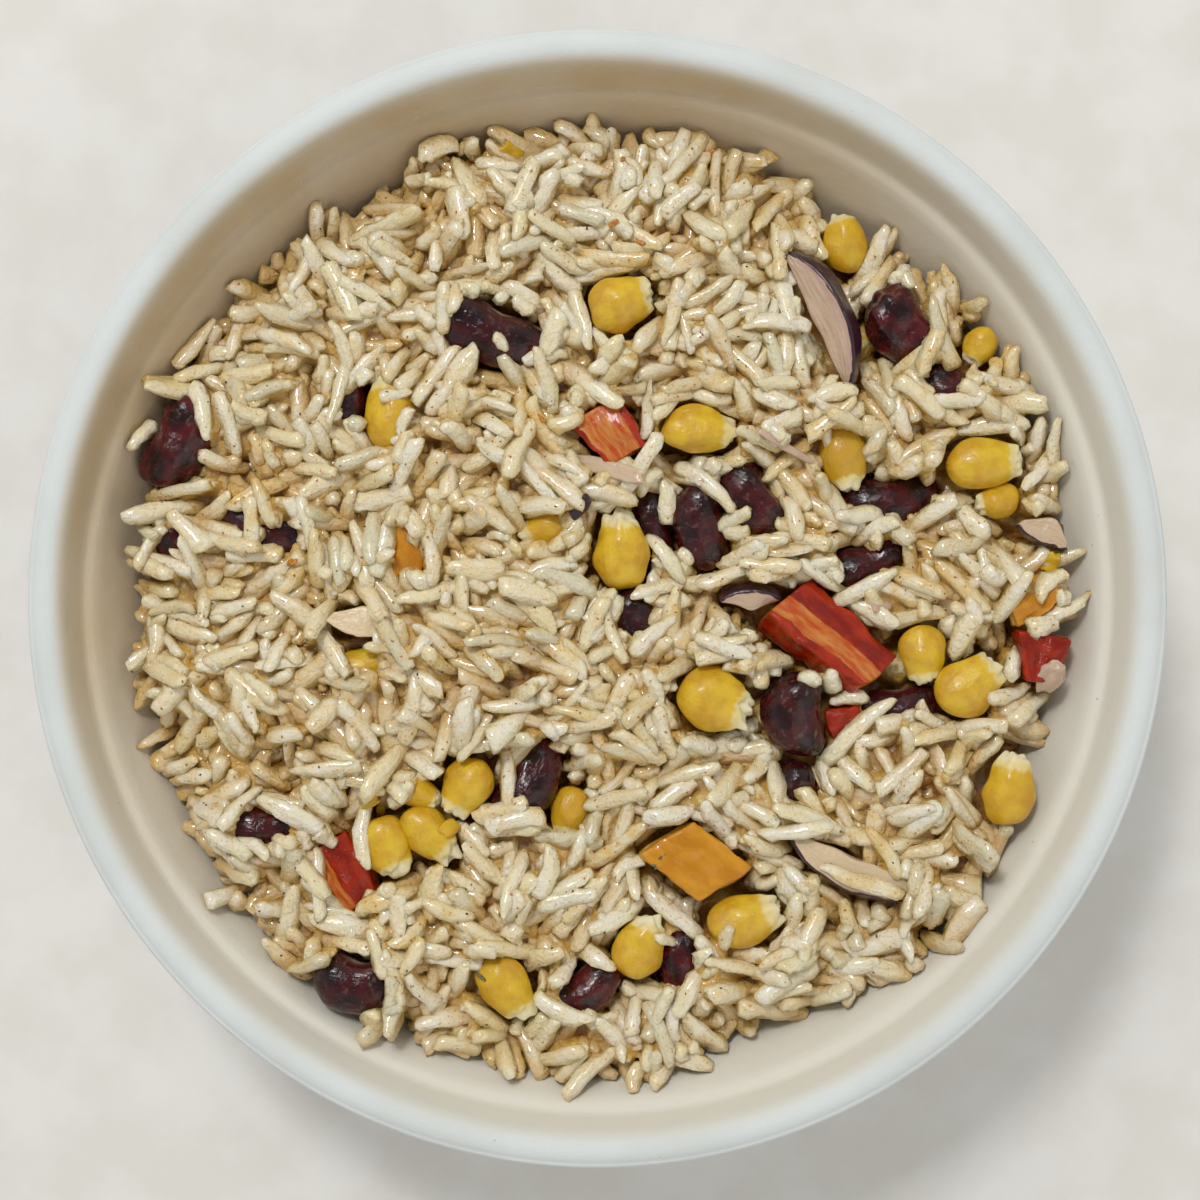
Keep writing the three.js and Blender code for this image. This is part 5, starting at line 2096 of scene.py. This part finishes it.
ONION_BITS = [
    Scrap((610, 469), (11.0, 2.6, 1.1), -16, 0.45),
    Scrap((581, 507), (4.0, 2.0, 1.0), 50, 0.9),
    Scrap((1054, 678), (5.4, 3.6, 1.2), 70, 0.2),
    Scrap((786, 446), (10.0, 1.2, 0.8), -28, 0.2),
    Scrap((884, 607), (4.0, 1.2, 0.8), 10, 0.2),
]
CORN_BITS = [
    Scrap((368, 803), (2.6, 2.0, 1.2), 20, 0.2),
    Scrap((376, 814), (2.0, 1.6, 1.1), 80, 0.2),
    Scrap((448, 830), (3.4, 2.4, 0.9), 30, 0.3),
    Scrap((1057, 562), (3.2, 2.4, 1.2), 60, 0.2),
    Scrap((510, 143), (3.6, 2.2, 0.8), -30, 0.3),
]
RED_BITS = [
    Scrap((614, 222), (1.8, 0.9, 0.6), 30),
    Scrap((623, 158), (1.4, 0.8, 0.6), 70),
    Scrap((641, 242), (1.5, 0.7, 0.6), -20),
    Scrap((711, 145), (2.2, 1.4, 0.7), 10),
    Scrap((540, 418), (1.8, 0.8, 0.6), -40),
    Scrap((292, 562), (2.0, 1.0, 0.6), 15),
]
HERB_BITS = [
    Scrap((748, 628), (2.4, 0.6, 0.4), 70),
    Scrap((737, 772), (1.8, 0.5, 0.4), 20),
    Scrap((480, 980), (2.2, 0.6, 0.4), -35),
    Scrap((333, 540), (1.7, 0.35, 0.35), 72),
    Scrap((660, 862), (2.6, 1.3, 0.4), 40),
]


# ---- The room for the picture ----
@dataclass
class Studio:
    """A pale floor and soft light from the far side, a little from the left."""

    floor_size: float = 1.6
    key_power: float = 2.6
    glint_power: float = 4.8
    fill_power: float = 2.2
    sky: str = "#E1E4E5"
    sky_low: float = 0.95
    sky_overhead: float = 0.42
    exposure: float = -0.42
    gamma: float = 1.15

    def lamp(self, name: str, place: Size, size: float, power: float, tone: str) -> None:
        """Adds a square soft lamp that looks at the bowl.

        Args:
            name: The lamp's name.
            place: Where it hangs, in metres.
            size: The length of its side.
            power: Its power in watts.
            tone: Its colour.
        """
        data = bpy.data.lights.new(name, "AREA")
        data.size = size
        data.energy = power
        data.color = colour(tone)[:3]
        lamp = bpy.data.objects.new(name, data)
        lamp.location = place
        lamp.rotation_euler = (-Vector(place)).to_track_quat("-Z", "Y").to_euler()
        bpy.context.scene.collection.objects.link(lamp)

    def view(self) -> None:
        """Sets how the light is turned into a picture, and how often it bounces."""
        scene = bpy.context.scene
        scene.view_settings.view_transform = "Standard"
        scene.view_settings.exposure = self.exposure
        scene.view_settings.gamma = self.gamma
        scene.cycles.max_bounces = 4
        scene.cycles.diffuse_bounces = 2
        scene.cycles.glossy_bounces = 2
        scene.cycles.transmission_bounces = 2
        # The light has few lamps and little noise, so smooth parts of the picture may stop early.
        scene.cycles.adaptive_threshold = 0.3
        scene.cycles.use_light_tree = False

    def build(self) -> None:
        """Adds the floor, the lamps and the light of the room."""
        half = self.floor_size / 2
        mesh = bpy.data.meshes.new("floor")
        mesh.from_pydata([(-half, -half, 0), (half, -half, 0), (half, half, 0), (-half, half, 0)], [], [(0, 1, 2, 3)])
        mesh.materials.append(StudioPaper().make())
        floor = bpy.data.objects.new("floor", mesh)
        floor.location.z = -0.0001
        bpy.context.scene.collection.objects.link(floor)
        self.lamp("window", (-0.26, 0.64, 0.86), 0.4, self.key_power, "#FFFBF4")
        self.lamp("glint", (-0.2, 0.44, 0.9), 0.16, self.glint_power, "#FFFFFF")
        self.lamp("room", (0.45, -0.55, 0.8), 0.9, self.fill_power, "#FFF6EA")
        world = bpy.data.worlds.new("room_light")
        world.use_nodes = True
        tree = world.node_tree
        background = tree.nodes["Background"]
        background.inputs[0].default_value = colour(self.sky)
        upward = add_node(tree, "ShaderNodeSeparateXYZ", {0: add_node(tree, "ShaderNodeTexCoord").outputs["Generated"]})
        span = {"From Min": 0.6, "From Max": 0.9, "To Min": self.sky_low, "To Max": self.sky_overhead}
        strength = add_node(tree, "ShaderNodeMapRange", {"Value": upward.outputs[2], **span})
        tree.links.new(strength.outputs[0], background.inputs[1])
        bpy.context.scene.world = world
        self.view()


def main() -> None:
    """Builds the salad in order: the bowl, the pieces, the grains, the core, the scraps, the view and the light."""
    logging.basicConfig(level=logging.INFO, format="%(name)s %(message)s")
    bowl = Bowl()
    bowl.build()
    red = PepperFlesh("red_pepper_flesh", "#A62403", "#781202", "#B43C08", "#C8803A")
    orange = PepperFlesh("orange_pepper_flesh", "#D08A1C", "#BA7210", "#D89A30", "#DCAE50")
    beans, corn, onion = BeanSkin(), SweetcornSkin(), OnionLayer()
    kinds = [
        Garnish(BEANS, beans, "bean_skin"),
        Garnish(KERNELS, corn, "corn"),
        Garnish(RED_PEPPERS, red, "red_pepper"),
        Garnish(ORANGE_PEPPERS, orange, "orange_pepper"),
        Garnish(SLIVERS, onion, "onion"),
    ]
    mound = Mound(bowl)
    pile = RicePile(mound)
    for kind in kinds:
        pile.protect(kind.build(), kind.pieces)
    pile.make_room(SHOWN_GRAINS)
    pile.pour()
    pile.place_shown(SHOWN_GRAINS)
    mash = Mash(mound)
    level = mash.level(pile.grain_tops)
    pile.shade(mash.build(level).data)
    pile.thin_out(level)
    grains = pile.build()
    upper = grains[list(GrainKind).index(GrainKind.WHOLE_UPPER)].data
    paprika = GroundSpice("paprika", "#C47A18", "#9C560E")
    pepper = GroundSpice("black_pepper", "#3A2A22", "#1E1612")
    herb = GroundSpice("dried_herb", "#6A6238", "#3C361E")
    Specks("paprika_specks", paprika, "red_pepper", 80000.0, (0.3, 0.62), 0.75, 3).strew(upper)
    Specks("pepper_specks", pepper, "bean_skin", 14000.0, (0.28, 0.62), 0.6, 8).strew(upper)
    scraps = [
        Scraps("onion_scraps", "onion", onion, ONION_BITS),
        Scraps("corn_scraps", "corn", corn, CORN_BITS),
        Scraps("red_pepper_scraps", "red_pepper", paprika, RED_BITS),
        Scraps("herb_flecks", "bean_skin", herb, HERB_BITS),
    ]
    for scrap in scraps:
        scrap.build(pile)
    VIEW.camera()
    Studio().build()


if __name__ == "__main__":
    main()
